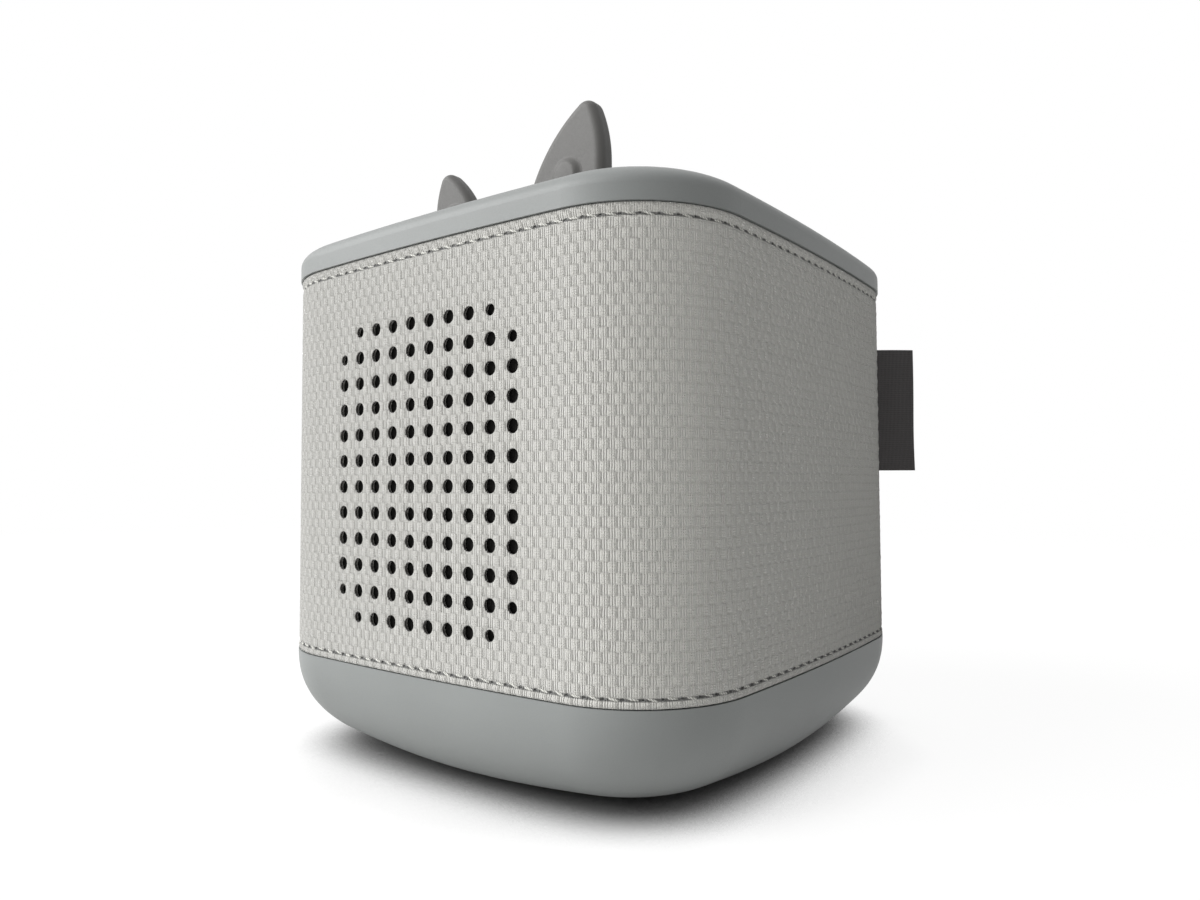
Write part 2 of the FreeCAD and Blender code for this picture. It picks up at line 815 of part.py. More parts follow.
def cap_hollow():
    steps = 4
    inset = cap_wall - cap_overhang
    shoulder = cap_top - cap_edge_height - cap_wall
    wires = [body_wire(inset, deck_top - 1)]
    for step in range(steps + 1):
        inset_share, rise_share = superellipse(step, steps, 2)
        z = shoulder + cap_edge_height * rise_share
        wires.append(body_wire(inset + cap_edge_inset * inset_share, z))
    return Part.makeLoft(wires, True, True)


def top_cap():
    bosses = []
    for x, y in corners(cap_screw_offset, cap_screw_offset):
        bosses.append(rod(V(x, y, deck_top), Z_AXIS, cap_boss_radius, cap_height - cap_wall / 2))
    cap = joined([cap_block().cut(cap_hollow())] + bosses)
    tools = []
    for x, y in corners(cap_screw_offset, cap_screw_offset):
        tools.append(rod(V(x, y, deck_top - overshoot), Z_AXIS, small_screw_radius + screw_clearance,
                         cap_screw_hole))
    for ear in (big_ear, small_ear):
        tools.append(ear_form(ear, -ear_slot, deck_top + ear_foot_thickness, 0))
    tools.append(rod(V(light_x, ear_plane, deck_top), Z_AXIS, light_radius + light_clearance,
                     2 * cap_height))
    return without(cap, tools)


def cap_screws():
    length = cap_screw_hole - overshoot - screw_tip_gap / 2 + deck_thickness
    shapes = [screw(V(x, y, deck_bottom), Z_AXIS, length, small_screw_radius, small_screw_head,
                    small_screw_head_height) for x, y in corners(cap_screw_offset, cap_screw_offset)]
    return Part.makeCompound(shapes)


# ---------- ears ----------

def ear_outline(ear, inset, low):
    """The ear's outline in the plane y = 0, from height low up, made smaller all round by inset."""
    left_radius = ear["left_radius"] - inset
    right_radius = ear["right_radius"] - inset
    tip_radius = ear["tip_radius"] - inset
    left = V(ear["left_x"] + ear["left_radius"], 0, deck_top + ear["left_rise"])
    right = V(ear["right_x"] - ear["right_radius"], 0, deck_top + ear["right_rise"])
    across = right - left
    distance = across.Length
    from_left = left_radius - tip_radius
    from_right = right_radius - tip_radius
    along = (from_left ** 2 - from_right ** 2 + distance ** 2) / (2 * distance)
    lift = math.sqrt(from_left ** 2 - along ** 2)
    unit = V(across).normalize()
    upward = V(unit.z, 0, -unit.x)
    if upward.z < 0:
        upward = upward * -1
    tip = left + unit * along + upward * lift
    left_start = left - X_AXIS * left_radius
    right_start = right + X_AXIS * right_radius
    left_end = left + V(tip - left).normalize() * left_radius
    right_end = right + V(tip - right).normalize() * right_radius

    def point_on(centre, radius, first, second):
        middle = V(first - centre).normalize() + V(second - centre).normalize()
        return centre + middle.normalize() * radius

    tip_top = tip + V((left_end - tip).normalize() + (right_end - tip).normalize()).normalize() * tip_radius
    edges = [
        Part.makeLine(V(left_start.x, 0, low), left_start),
        Part.Arc(left_start, point_on(left, left_radius, left_start, left_end), left_end).toShape(),
        Part.Arc(left_end, tip_top, right_end).toShape(),
        Part.Arc(right_end, point_on(right, right_radius, right_end, right_start), right_start).toShape(),
        Part.makeLine(right_start, V(right_start.x, 0, low)),
        Part.makeLine(V(right_start.x, 0, low), V(left_start.x, 0, low)),
    ]
    return Part.Wire(edges)


def ear_slab(ear, inset, low, front, back):
    slab = Part.Face(ear_outline(ear, inset, low)).extrude(V(0, back - front, 0))
    slab.translate(V(0, front, 0))
    return slab


def ear_form(ear, inset, low, edge_round):
    front = ear_front_y + inset
    back = ear_back_y - inset
    form = ear_slab(ear, inset, low, front, back)
    if edge_round:
        rims = []
        for edge in form.Edges:
            box_of_edge = edge.BoundBox
            flat = box_of_edge.YLength < 0.01
            at_foot = box_of_edge.ZMax < low + 0.01
            if flat and not at_foot:
                rims.append(edge)
        form = form.makeFillet(edge_round, rims)
    return form


def cover_foot():
    return deck_top + ear_foot_thickness + 0.1


def ear_lead_y():
    """The depth of the ear's circuit board, under which its lead leaves."""
    return ear_back_y - ear_skin - ear_fit - ear_board_thickness / 2


def key_place(ear):
    return ear["key_x"], deck_top + ear["key_rise"]


def switch_front():
    return ear_back_y - ear_skin - ear_fit - ear_board_thickness - switch_depth


def flange_rest():
    """The depth of the key's flange at rest, just behind the ear's front skin."""
    return ear_front_y + ear_skin + ear_fit


def ear_cover(ear):
    foot = cover_foot()
    cover = ear_form(ear, 0, foot, ear_edge_round)
    hollow = ear_slab(ear, ear_skin, foot - 1, ear_front_y + ear_skin, ear_back_y - ear_skin)
    x, z = key_place(ear)
    hole = rod(V(x, ear_front_y - 1, z), Y_AXIS, key_radius + key_slide_clearance, ear_skin + 2)
    return without(cover, [hollow, hole])


def ear_core(ear):
    """The stiff core inside an ear and the foot that screws to the deck."""
    front = ear_front_y + ear_skin + ear_fit
    back = ear_back_y - ear_skin - ear_fit
    core = ear_slab(ear, ear_skin + ear_fit, deck_top + ear_core_lift, front, back)
    foot = box((ear["left_x"], ear["right_x"]),
               (ear_plane - ear_foot_depth / 2, ear_plane + ear_foot_depth / 2),
               (deck_top, deck_top + ear_foot_thickness))
    x, z = key_place(ear)
    pocket_depth = key_flange_thickness + key_travel + key_end_gap
    tools = [rod(V(x, front - overshoot, z), Y_AXIS, key_flange_radius + key_flange_clearance,
                 overshoot + pocket_depth)]
    window = switch_side / 2 + ear_fit
    tools.append(box((x - window, x + window), (front, back + overshoot), (z - window, z + window)))
    half = ear_board_width / 2 + ear_fit
    tools.append(box((x - half, x + half), (back - ear_board_thickness, back + overshoot),
                     (z - ear_board_drop - ear_fit, z + ear_board_rise + ear_fit)))
    tools.append(rod(V(x, ear_lead_y(), deck_top - overshoot), Z_AXIS, ear_lead_radius + ear_fit,
                     z - ear_board_drop - deck_top + 1.5 * overshoot))
    for screw_x, screw_y in foot_screw_places(ear):
        tools.append(rod(V(screw_x, screw_y, deck_top - overshoot), Z_AXIS,
                         small_screw_radius + screw_hole_clearance, ear_foot_thickness + 2 * overshoot))
    return without(joined([core, foot]), tools)


def ear_key(ear):
    """A round key whose face flares out of the ear's front skin into a low dome."""
    x, z = key_place(ear)
    rest = flange_rest()
    face = ear_front_y
    stem = [(0, rest + key_flange_thickness), (key_flange_radius, rest + key_flange_thickness)]
    stem += [(key_flange_radius, rest), (key_radius, rest), (key_radius, face - key_face_setback)]
    steps = 8
    for step in range(1, steps + 1):
        share = step / steps
        radius = key_radius * (1 - share)
        height = key_dome_height * (1 - math.cos(math.pi * min(share * 1.35, 1))) / 2
        stem.append((radius, face - key_face_setback - height))
    return turned(stem, x, z)


def key_plunger(ear):
    x, z = key_place(ear)
    start = flange_rest() + key_flange_thickness
    length = switch_front() - start + plunger_overlap
    return rod(V(x, start, z), Y_AXIS, plunger_radius, length)


def ear_switch(ear):
    x, z = key_place(ear)
    half = switch_side / 2
    front = switch_front()
    body = box((x - half, x + half), (front, front + switch_depth), (z - half, z + half))
    bore = rod(V(x, front - overshoot, z), Y_AXIS, plunger_radius + plunger_clearance,
               overshoot + plunger_overlap + key_travel + key_end_gap / 2)
    return body.cut(bore)


def ear_board(ear):
    x, z = key_place(ear)
    back = ear_back_y - ear_skin - ear_fit
    half = ear_board_width / 2
    return box((x - half, x + half), (back - ear_board_thickness, back),
               (z - ear_board_drop, z + ear_board_rise))


def ear_screws():
    shapes = []
    for ear in (big_ear, small_ear):
        for x, y in foot_screw_places(ear):
            shapes.append(screw(V(x, y, deck_top + ear_foot_thickness), Z_AXIS * -1, ear_screw_length,
                                small_screw_radius, small_screw_head, small_screw_head_height))
    return Part.makeCompound(shapes)


# ---------- speaker ----------

def speaker_gasket():
    return pipe(V(grille_x, speaker_seat_y, grille_z), Y_AXIS, gasket_radius,
                surround_radius + surround_roll + 0.4, gasket_thickness)


def speaker_frame():
    """A pressed basket: a flange with four ears, a tapered wall with four windows and a flat back."""
    inner = surround_radius + surround_roll - surround_skin
    profile = [(inner, flange_front_y), (speaker_flange_radius, flange_front_y)]
    profile += [(speaker_flange_radius, flange_back_y), (inner + basket_wall, flange_back_y)]
    profile += [(basket_back_radius, top_plate_y), (gap_outer_radius + 0.5, top_plate_y)]
    profile += [(gap_outer_radius + 0.5, basket_back_y), (basket_back_radius - basket_wall, basket_back_y)]
    profile += [(inner, flange_back_y)]
    frame = turned(profile, grille_x, grille_z)
    ears = [rod(V(x, flange_front_y, z), Y_AXIS, speaker_ear_radius, flange_sheet)
            for x, z in speaker_ear_places()]
    frame = joined([frame] + ears)
    tools = [rod(V(x, flange_front_y - 1, z), Y_AXIS, small_screw_radius + 0.15, flange_sheet + 2)
             for x, z in speaker_ear_places()]
    window_depths = (flange_back_y + basket_window_margin, basket_back_y - basket_window_back_margin)
    long_side = 2 * speaker_flange_radius
    half = basket_window_width / 2
    for turn in range(2):
        window = box((-long_side, long_side), window_depths, (-half, half))
        window.rotate(V(0, 0, 0), Y_AXIS, 90 * turn)
        window.translate(V(grille_x, 0, grille_z))
        tools.append(window)
    return without(frame, tools)


def speaker_surround():
    """The half-round rubber roll between the frame and the cone."""
    steps = 6
    points = []
    for step in range(steps + 1):
        angle = math.pi * step / steps
        points.append((surround_radius + surround_roll * math.cos(angle),
                       flange_front_y - surround_roll * math.sin(angle)))
    inner_roll = surround_roll - surround_skin
    for step in range(steps, -1, -1):
        angle = math.pi * step / steps
        points.append((surround_radius + inner_roll * math.cos(angle),
                       flange_front_y - inner_roll * math.sin(angle)))
    return turned(points, grille_x, grille_z)


def cone_rim():
    return surround_radius - surround_roll - cone_clearance


def cone_neck_y():
    return basket_back_y - cone_neck_setback


def speaker_cone():
    """The paper cone, its neck and its dust cap."""
    rim_y = flange_front_y
    neck_y = cone_neck_y()
    neck = coil_radius + coil_wall
    profile = [(cone_rim(), rim_y - cone_skin / 2), (cone_rim(), rim_y + cone_skin / 2)]
    profile += [(neck, neck_y - 1.0), (neck, neck_y), (coil_radius - 0.4, neck_y)]
    profile += [(coil_radius - 0.4, neck_y - 1.6), (0, neck_y - dust_cap_depth + cone_skin)]
    profile += [(0, neck_y - dust_cap_depth), (coil_radius + cone_edge_width, neck_y - 2.2)]
    profile += [(cone_rim() - cone_edge_width, rim_y - cone_skin / 2)]
    return turned(profile, grille_x, grille_z)


def voice_coil():
    return pipe(V(grille_x, cone_neck_y(), grille_z), Y_AXIS, coil_radius + coil_wall, coil_radius,
                coil_length)


def speaker_top_plate():
    return pipe(V(grille_x, top_plate_y, grille_z), Y_AXIS, magnet_radius - 1.0, gap_outer_radius,
                top_plate_thickness)


def speaker_magnet():
    return pipe(V(grille_x, magnet_y, grille_z), Y_AXIS, magnet_radius, gap_outer_radius + 1.5,
                magnet_length)


def speaker_yoke():
    plate = rod(V(grille_x, yoke_y, grille_z), Y_AXIS, magnet_radius - 1.0, yoke_thickness)
    pole = rod(V(grille_x, top_plate_y, grille_z), Y_AXIS, pole_radius, yoke_y - top_plate_y + 0.5)
    return joined([plate, pole])


def speaker_screws():
    length = flange_back_y - front_wall_y - speaker_screw_tip_gap
    shapes = [screw(V(x, flange_back_y, z), Y_AXIS * -1, length, small_screw_radius, small_screw_head,
                    small_screw_head_height) for x, z in speaker_ear_places()]
    return Part.makeCompound(shapes)


def speaker_terminal():
    """The solder board on the back of the basket, beside the magnet."""
    low = grille_x + magnet_radius - terminal_overlap
    half = terminal_width / 2
    return box((low, low + terminal_length), (top_plate_y, top_plate_y + board_thickness),
               (grille_z - half, grille_z + half))


# ---------- electronics ----------

def main_board():
    board = box((-main_board_half_width, main_board_half_width),
                (main_board_y, main_board_y + main_board_thickness), (main_board_low, main_board_high))
    tools = [rod(V(x, main_board_y - 1, z), Y_AXIS, small_screw_radius + 0.15, main_board_thickness + 2)
             for x, z in board_screw_places()]
    return without(board, tools)


def board_screws():
    shapes = [screw(V(x, main_board_y, z), Y_AXIS, board_screw_length, small_screw_radius,
                    small_screw_head, small_screw_head_height) for x, z in board_screw_places()]
    return Part.makeCompound(shapes)


def on_board(x, z, width, height, depth):
    """A block on the front of the main board, centred at x and z."""
    return box((x - width / 2, x + width / 2), (main_board_y - depth, main_board_y),
               (z - height / 2, z + height / 2))


def board_chips():
    shapes = []
    for chip in (processor, memory_chip, radio_module, sound_amplifier, charger_chip):
        x = chip["side"] * (main_board_half_width - chip["side_gap"])
        z = main_board_low + chip["rise"]
        shapes.append(on_board(x, z, chip["width"], chip["height"], chip["depth"]))
    return Part.makeCompound(shapes)


def connector_places():
    """Where each lead plugs into the main board, as (x, z)."""
    top = main_board_high - connector_top_gap
    low = main_board_low + battery_connector_rise
    return {
        "battery_left": (battery_connector_inset - main_board_half_width, low),
        "battery_right": (main_board_half_width - battery_connector_inset, low),
        "speaker": (speaker_connector_x, main_board_low + speaker_connector_rise),
        "big_ear": (big_ear["key_x"], top),
        "small_ear": (small_ear["key_x"], top),
        "light": (light_x, top),
        "reader": (reader_connector_x, top - connector_step),
    }


def board_connectors():
    shapes = [on_board(x, z, connector_width, connector_height, connector_depth)
              for x, z in connector_places().values()]
    return Part.makeCompound(shapes)


def card_block(growth):
    """The card, made larger by growth at its sides and faces. It stands out of the top of its socket."""
    half = card_width / 2 + growth
    back = main_board_y - card_socket_wall - card_clearance
    low = main_board_low + card_rise - card_height / 2 + card_stop
    return box((card_x - half, card_x + half), (back - card_thickness - growth, back + growth),
               (low, low + card_height))


def card_socket():
    width = card_width + 2 * card_socket_side
    depth = card_thickness + 2 * (card_socket_wall + card_clearance)
    shell = on_board(card_x, main_board_low + card_rise, width, card_height, depth)
    return shell.cut(card_block(card_clearance))


def memory_card():
    return card_block(0)


def headphone_jack():
    """A body soldered to the back of the main board, with a barrel that reaches the outside."""
    start = main_board_y + main_board_thickness
    mouth = body_half_width + bezel_thickness - jack_gap
    body_end = back_wall_y - housing_wall - jack_gap
    body = box((-jack_body_width / 2, jack_body_width / 2), (start, body_end),
               (jack_z - jack_body_height / 2, jack_z + jack_body_height / 2))
    barrel = rod(V(0, (start + body_end) / 2, jack_z), Y_AXIS, jack_barrel_radius,
                 mouth - (start + body_end) / 2)
    bore = rod(V(0, mouth - jack_bore_length, jack_z), Y_AXIS, jack_bore_radius,
               jack_bore_length + overshoot)
    return without(joined([body, barrel]), [bore])


def jack_bezel():
    """The ring round the socket's mouth, with a neck that lines the hole through the wrap."""
    face = body_half_width
    flange = rod(V(0, face, jack_z), Y_AXIS, bezel_radius, bezel_thickness)
    rim = [edge for edge in flange.Edges if abs(edge.BoundBox.YMin - face - bezel_thickness) < 0.01]
    flange = flange.makeFillet(bezel_round, rim)
    neck_start = back_wall_y - housing_wall + jack_gap
    neck = rod(V(0, neck_start, jack_z), Y_AXIS, bezel_neck_radius, face + bezel_thickness / 2 - neck_start)
    bore = rod(V(0, 0, jack_z), Y_AXIS, jack_barrel_radius + bezel_barrel_clearance, 2 * body_half_width)
    return without(joined([flange, neck]), [bore])


def reader_board():
    low = deck_top + reader_rise
    board = rounded_plate(reader_side, reader_side, reader_corner, low, low + reader_thickness)
    board.translate(V(0, reader_y, 0))
    return board


def reader_chip():
    low = deck_top + reader_rise
    half = reader_chip_side / 2
    return box((reader_chip_x - half, reader_chip_x + half), (reader_y - half, reader_y + half),
               (low - reader_chip_depth, low))


def reader_lead_y():
    return reader_y + reader_side / 2 - reader_lead_inset


def figure_magnets():
    """Three discs between the reader board and the underside of the cap."""
    low = deck_top + reader_rise + reader_thickness
    discs = []
    for number in range(3):
        angle = math.radians(90 + 120 * number)
        place = V(magnet_circle * math.cos(angle), reader_y + magnet_circle * math.sin(angle), low)
        discs.append(rod(place, Z_AXIS, magnet_disc_radius, cap_underside - magnet_disc_gap - low))
    return Part.makeCompound(discs)


def light_board():
    half_width = light_board_width / 2
    half_length = light_board_length / 2
    return box((light_x - half_width, light_x + half_width),
               (ear_plane - half_length, ear_plane + half_length),
               (deck_top, deck_top + light_board_thickness))


def status_light():
    half = light_side / 2
    low = deck_top + light_board_thickness
    return box((light_x - half, light_x + half), (ear_plane - half, ear_plane + half),
               (low, low + light_depth))


def light_pipe():
    """A clear rod from the light to the top of the cap, held by a collar under the cap."""
    low = deck_top + light_board_thickness + light_depth + light_pipe_gap
    stem = rod(V(light_x, ear_plane, low), Z_AXIS, light_radius, cap_top + light_stand_out - low)
    collar_low = cap_underside - light_clearance - light_collar_thickness
    collar = rod(V(light_x, ear_plane, collar_low), Z_AXIS, light_radius + light_collar_margin,
                 light_collar_thickness)
    return joined([stem, collar])


# ---------- leads ----------

def lead(points, radius):
    """A round lead along straight runs joined by arcs that touch both runs."""
    edges = []
    start = points[0]
    for number in range(1, len(points) - 1):
        corner = points[number]
        before = V(points[number - 1] - corner)
        after = V(points[number + 1] - corner)
        turn = math.pi - before.getAngle(after)
        reach = bend_share * min(before.Length, after.Length)
        first = corner + V(before).normalize() * reach
        last = corner + V(after).normalize() * reach
        bend_radius = reach / math.tan(turn / 2)
        inward = V(V(before).normalize() + V(after).normalize()).normalize()
        centre = corner + inward * math.hypot(bend_radius, reach)
        middle = centre + V(corner - centre).normalize() * bend_radius
        edges.append(Part.makeLine(start, first))
        edges.append(Part.Arc(first, middle, last).toShape())
        print("bend radius %.1f" % bend_radius)
        start = last
    edges.append(Part.makeLine(start, points[-1]))
    path = Part.Wire(edges)
    section = Part.Wire(Part.makeCircle(radius, points[0], V(points[1] - points[0])))
    tube = path.makePipeShell([section], True, False)
    expected = math.pi * radius ** 2 * path.Length
    print("lead volume share %.4f" % (tube.Volume / expected))
    return tube


def plug_end(name):
    """The front of a lead's connector on the main board."""
    x, z = connector_places()[name]
    return V(x, main_board_y - connector_depth, z)


def before_plug(start, end, share, lift):
    """The point in front of a plug at a share of the depth between the lead's start and its plug."""
    return V(end.x, end.y - share * (end.y - start.y), end.z + lift)


def battery_leads():
    shapes = []
    for side, name in ((-1, "battery_left"), (1, "battery_right")):
        tail_x = side * (cell_length / 2 + terminal_gap + terminal_thickness / 2)
        start = V(tail_x, cell_pitch / 2, cradle_z)
        end = plug_end(name)
        points = [start, start + Z_AXIS * battery_lead_rise]
        points += [before_plug(start, end, battery_lead_end_share, 0), end]
        shapes.append(lead(points, lead_radius))
    return Part.makeCompound(shapes)


def speaker_leads():
    terminal_x = grille_x + magnet_radius - terminal_overlap + terminal_length / 2
    shapes = []
    for shift in (-speaker_lead_pitch / 2, speaker_lead_pitch / 2):
        start = V(terminal_x, top_plate_y + board_thickness, grille_z + shift)
        end = plug_end("speaker") + X_AXIS * shift
        depth = end.y - start.y
        points = [start, start + Y_AXIS * speaker_lead_start_share * depth]
        points += [before_plug(start, end, speaker_lead_end_share, 0), end]
        shapes.append(lead(points, lead_radius))
    return Part.makeCompound(shapes)


def deck_lead(top, end, drop):
    """A thin lead that drops through the deck and runs back to its plug."""
    points = [top, top - Z_AXIS * drop, before_plug(top, end, lead_middle_share, lead_middle_lift)]
    points += [before_plug(top, end, lead_end_share, 0), end]
    return lead(points, ear_lead_radius)


def ear_lead(ear, name):
    x, z = key_place(ear)
    return deck_lead(V(x, ear_lead_y(), z - ear_board_drop), plug_end(name), ear_lead_drop)


def light_lead():
    return deck_lead(V(light_x, ear_plane, deck_top), plug_end("light"), light_lead_drop)


def reader_lead():
    end = plug_end("reader")
    top = V(0, reader_lead_y(), deck_top + reader_rise)
    points = [top, top - Z_AXIS * reader_lead_drop, before_plug(top, end, reader_lead_end_share, 0), end]
    return lead(points, lead_radius)


# ---------- the parts ----------

def parts_list():
    parts = {
        "base_shell": base_shell(), "battery_door": battery_door(), "door_screws": door_screws(),
        "base_screws": base_screws(), "charge_contacts": charge_contacts(),
        "contact_board": contact_board(), "battery_cells": battery_cells(),
        "battery_terminals": battery_terminals(), "battery_cradle": battery_cradle(),
        "inner_housing": inner_housing(), "foam_sleeve": foam_sleeve(), "speaker_cloth": speaker_cloth(),
        "fabric_wrap": fabric_wrap(), "side_tag": side_tag(), "top_cap": top_cap(),
        "cap_screws": cap_screws(), "ear_screws": ear_screws(), "speaker_gasket": speaker_gasket(),
        "speaker_frame": speaker_frame(), "speaker_surround": speaker_surround(),
        "speaker_cone": speaker_cone(), "voice_coil": voice_coil(),
        "speaker_top_plate": speaker_top_plate(), "speaker_magnet": speaker_magnet(),
        "speaker_yoke": speaker_yoke(), "speaker_screws": speaker_screws(),
        "speaker_terminal": speaker_terminal(), "main_board": main_board(),
        "board_screws": board_screws(), "board_chips": board_chips(),
        "board_connectors": board_connectors(), "card_socket": card_socket(),
        "memory_card": memory_card(), "headphone_jack": headphone_jack(), "jack_bezel": jack_bezel(),
        "reader_board": reader_board(), "reader_chip": reader_chip(), "figure_magnets": figure_magnets(),
        "light_board": light_board(), "status_light": status_light(), "light_pipe": light_pipe(),
        "battery_leads": battery_leads(), "speaker_leads": speaker_leads(), "light_lead": light_lead(),
        "reader_lead": reader_lead(),
    }
    for name, ear in (("big_ear", big_ear), ("small_ear", small_ear)):
        parts[name + "_cover"] = ear_cover(ear)
        parts[name + "_core"] = ear_core(ear)
        parts[name + "_key"] = ear_key(ear)
        parts[name + "_plunger"] = key_plunger(ear)
        parts[name + "_switch"] = ear_switch(ear)
        parts[name + "_board"] = ear_board(ear)
        parts[name + "_lead"] = ear_lead(ear, name)
    return parts


os.makedirs("parts", exist_ok=True)
for node, shape in parts_list().items():
    shape.exportStep("parts/" + node + ".step")
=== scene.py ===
import bpy, math
import numpy as np
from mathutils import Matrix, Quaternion, Vector
from mathutils.bvhtree import BVHTree


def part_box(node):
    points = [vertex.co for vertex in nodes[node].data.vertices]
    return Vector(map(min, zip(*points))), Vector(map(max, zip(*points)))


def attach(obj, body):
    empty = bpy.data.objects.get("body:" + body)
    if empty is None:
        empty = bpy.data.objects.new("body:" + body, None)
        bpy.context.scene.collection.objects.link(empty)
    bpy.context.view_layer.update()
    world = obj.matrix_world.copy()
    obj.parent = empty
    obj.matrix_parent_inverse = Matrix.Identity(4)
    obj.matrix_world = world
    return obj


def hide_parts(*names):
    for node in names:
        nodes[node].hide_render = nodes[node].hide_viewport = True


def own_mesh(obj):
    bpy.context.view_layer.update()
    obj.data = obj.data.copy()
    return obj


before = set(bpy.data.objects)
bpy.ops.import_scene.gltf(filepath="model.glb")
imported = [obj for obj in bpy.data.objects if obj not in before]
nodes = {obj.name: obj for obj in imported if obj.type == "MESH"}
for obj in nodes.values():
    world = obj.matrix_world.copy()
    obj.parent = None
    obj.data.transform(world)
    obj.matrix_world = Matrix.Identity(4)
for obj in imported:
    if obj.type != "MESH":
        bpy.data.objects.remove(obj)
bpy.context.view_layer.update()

mm = 0.001


# Small helpers
def deselectAll():
    if bpy.context.object and bpy.context.object.mode != "OBJECT":
        bpy.ops.object.mode_set(mode="OBJECT")
    bpy.ops.object.select_all(action="DESELECT")


def makeActive(piece):
    deselectAll()
    piece.select_set(True)
    bpy.context.view_layer.objects.active = piece


def named(name):
    piece = bpy.context.object
    piece.name = name
    piece.data.name = name
    return piece


def applyPlace(piece):
    makeActive(piece)
    bpy.ops.object.transform_apply(location=True, rotation=True, scale=True)


def applyModifier(piece, kind, **settings):
    makeActive(piece)
    modifier = piece.modifiers.new(kind.title(), kind)
    for key, value in settings.items():
        setattr(modifier, key, value)
    bpy.ops.object.modifier_apply(modifier=modifier.name)


def shadeSmooth(piece, sharpDegrees):
    makeActive(piece)
    bpy.ops.object.shade_smooth_by_angle(angle=math.radians(sharpDegrees))


def joined(pieces, name):
    deselectAll()
    for piece in pieces:
        piece.select_set(True)
    bpy.context.view_layer.objects.active = pieces[0]
    bpy.ops.object.join()
    return named(name)


def mergeDoubles(piece, distance):
    makeActive(piece)
    bpy.ops.object.mode_set(mode="EDIT")
    bpy.ops.mesh.select_all(action="SELECT")
    bpy.ops.mesh.remove_doubles(threshold=distance)
    bpy.ops.object.mode_set(mode="OBJECT")


def selectVertices(piece, test):
    bpy.ops.object.mode_set(mode="EDIT")
    bpy.ops.mesh.select_mode(type="VERT")
    bpy.ops.mesh.select_all(action="DESELECT")
    bpy.ops.object.mode_set(mode="OBJECT")
    for vertex in piece.data.vertices:
        vertex.select = test(vertex.co)
    bpy.ops.object.mode_set(mode="EDIT")


def copyAt(piece, offset):
    twin = piece.copy()
    twin.data = piece.data.copy()
    bpy.context.scene.collection.objects.link(twin)
    twin.location = offset
    return twin


def readPoints(piece):
    points = np.empty(len(piece.data.vertices) * 3)
    piece.data.vertices.foreach_get("co", points)
    return points.reshape(-1, 3)


def writePoints(piece, points):
    piece.data.vertices.foreach_set("co", np.asarray(points, float).ravel())
    piece.data.update()


def keepFlatCut(piece, points):
    # the UV map holds the flat cut of the cloth, in metres
    loopVertices = np.empty(len(piece.data.loops), int)
    piece.data.loops.foreach_get("vertex_index", loopVertices)
    layer = piece.data.uv_layers.active or piece.data.uv_layers.new(name="cloth")
    layer.name = "cloth"
    layer.data.foreach_set("uv", points[loopVertices][:, [0, 2]].ravel())


def smoothStep(value):
    value = np.clip(value, 0.0, 1.0)
    return value * value * (3 - 2 * value)


# Body outline: four gently bulged sides joined by corner arcs
body = {"halfWidth": 60.0 * mm, "bulge": 0.94 * mm, "cornerRadius": 24.4 * mm,
        "seamAngle": math.radians(18.7)}
body["core"] = body["halfWidth"] - body["cornerRadius"] - body["bulge"]
body["coreArc"] = (body["core"] ** 2 + body["bulge"] ** 2) / (2 * body["bulge"])
body["swing"] = math.asin(body["core"] / body["coreArc"])
body["sideLength"] = 2 * body["swing"] * (body["coreArc"] + body["cornerRadius"])
body["cornerLength"] = (math.pi / 2 - 2 * body["swing"]) * body["cornerRadius"]
body["around"] = 4 * (body["sideLength"] + body["cornerLength"])
# the seam stands in the rear right corner, and the strip runs from it counter-clockwise
body["seamPlace"] = (2 * body["sideLength"] + body["cornerLength"]
                     + (body["seamAngle"] - body["swing"]) * body["cornerRadius"])


def outlineAt(place):
    place = np.mod(place, body["around"])
    quarterLength = body["sideLength"] + body["cornerLength"]
    quarter = np.minimum(np.floor(place / quarterLength), 3)
    rest = place - quarter * quarterLength
    onSide = rest < body["sideLength"]
    sideRadius = body["coreArc"] + body["cornerRadius"]
    sideAngle = -math.pi / 2 - body["swing"] + rest / sideRadius
    cornerAngle = -math.pi / 2 + body["swing"] + (rest - body["sideLength"]) / body["cornerRadius"]
    angle = np.where(onSide, sideAngle, cornerAngle)
    radius = np.where(onSide, sideRadius, body["cornerRadius"])
    centreX = np.where(onSide, 0.0, body["core"])
    centreY = np.where(onSide, body["coreArc"] - body["halfWidth"] + body["cornerRadius"], -body["core"])
    x = centreX + radius * np.cos(angle)
    y = centreY + radius * np.sin(angle)
    turn = quarter * math.pi / 2
    normalAngle = angle + turn
    return (x * np.cos(turn) - y * np.sin(turn), x * np.sin(turn) + y * np.cos(turn),
            np.cos(normalAngle), np.sin(normalAngle))


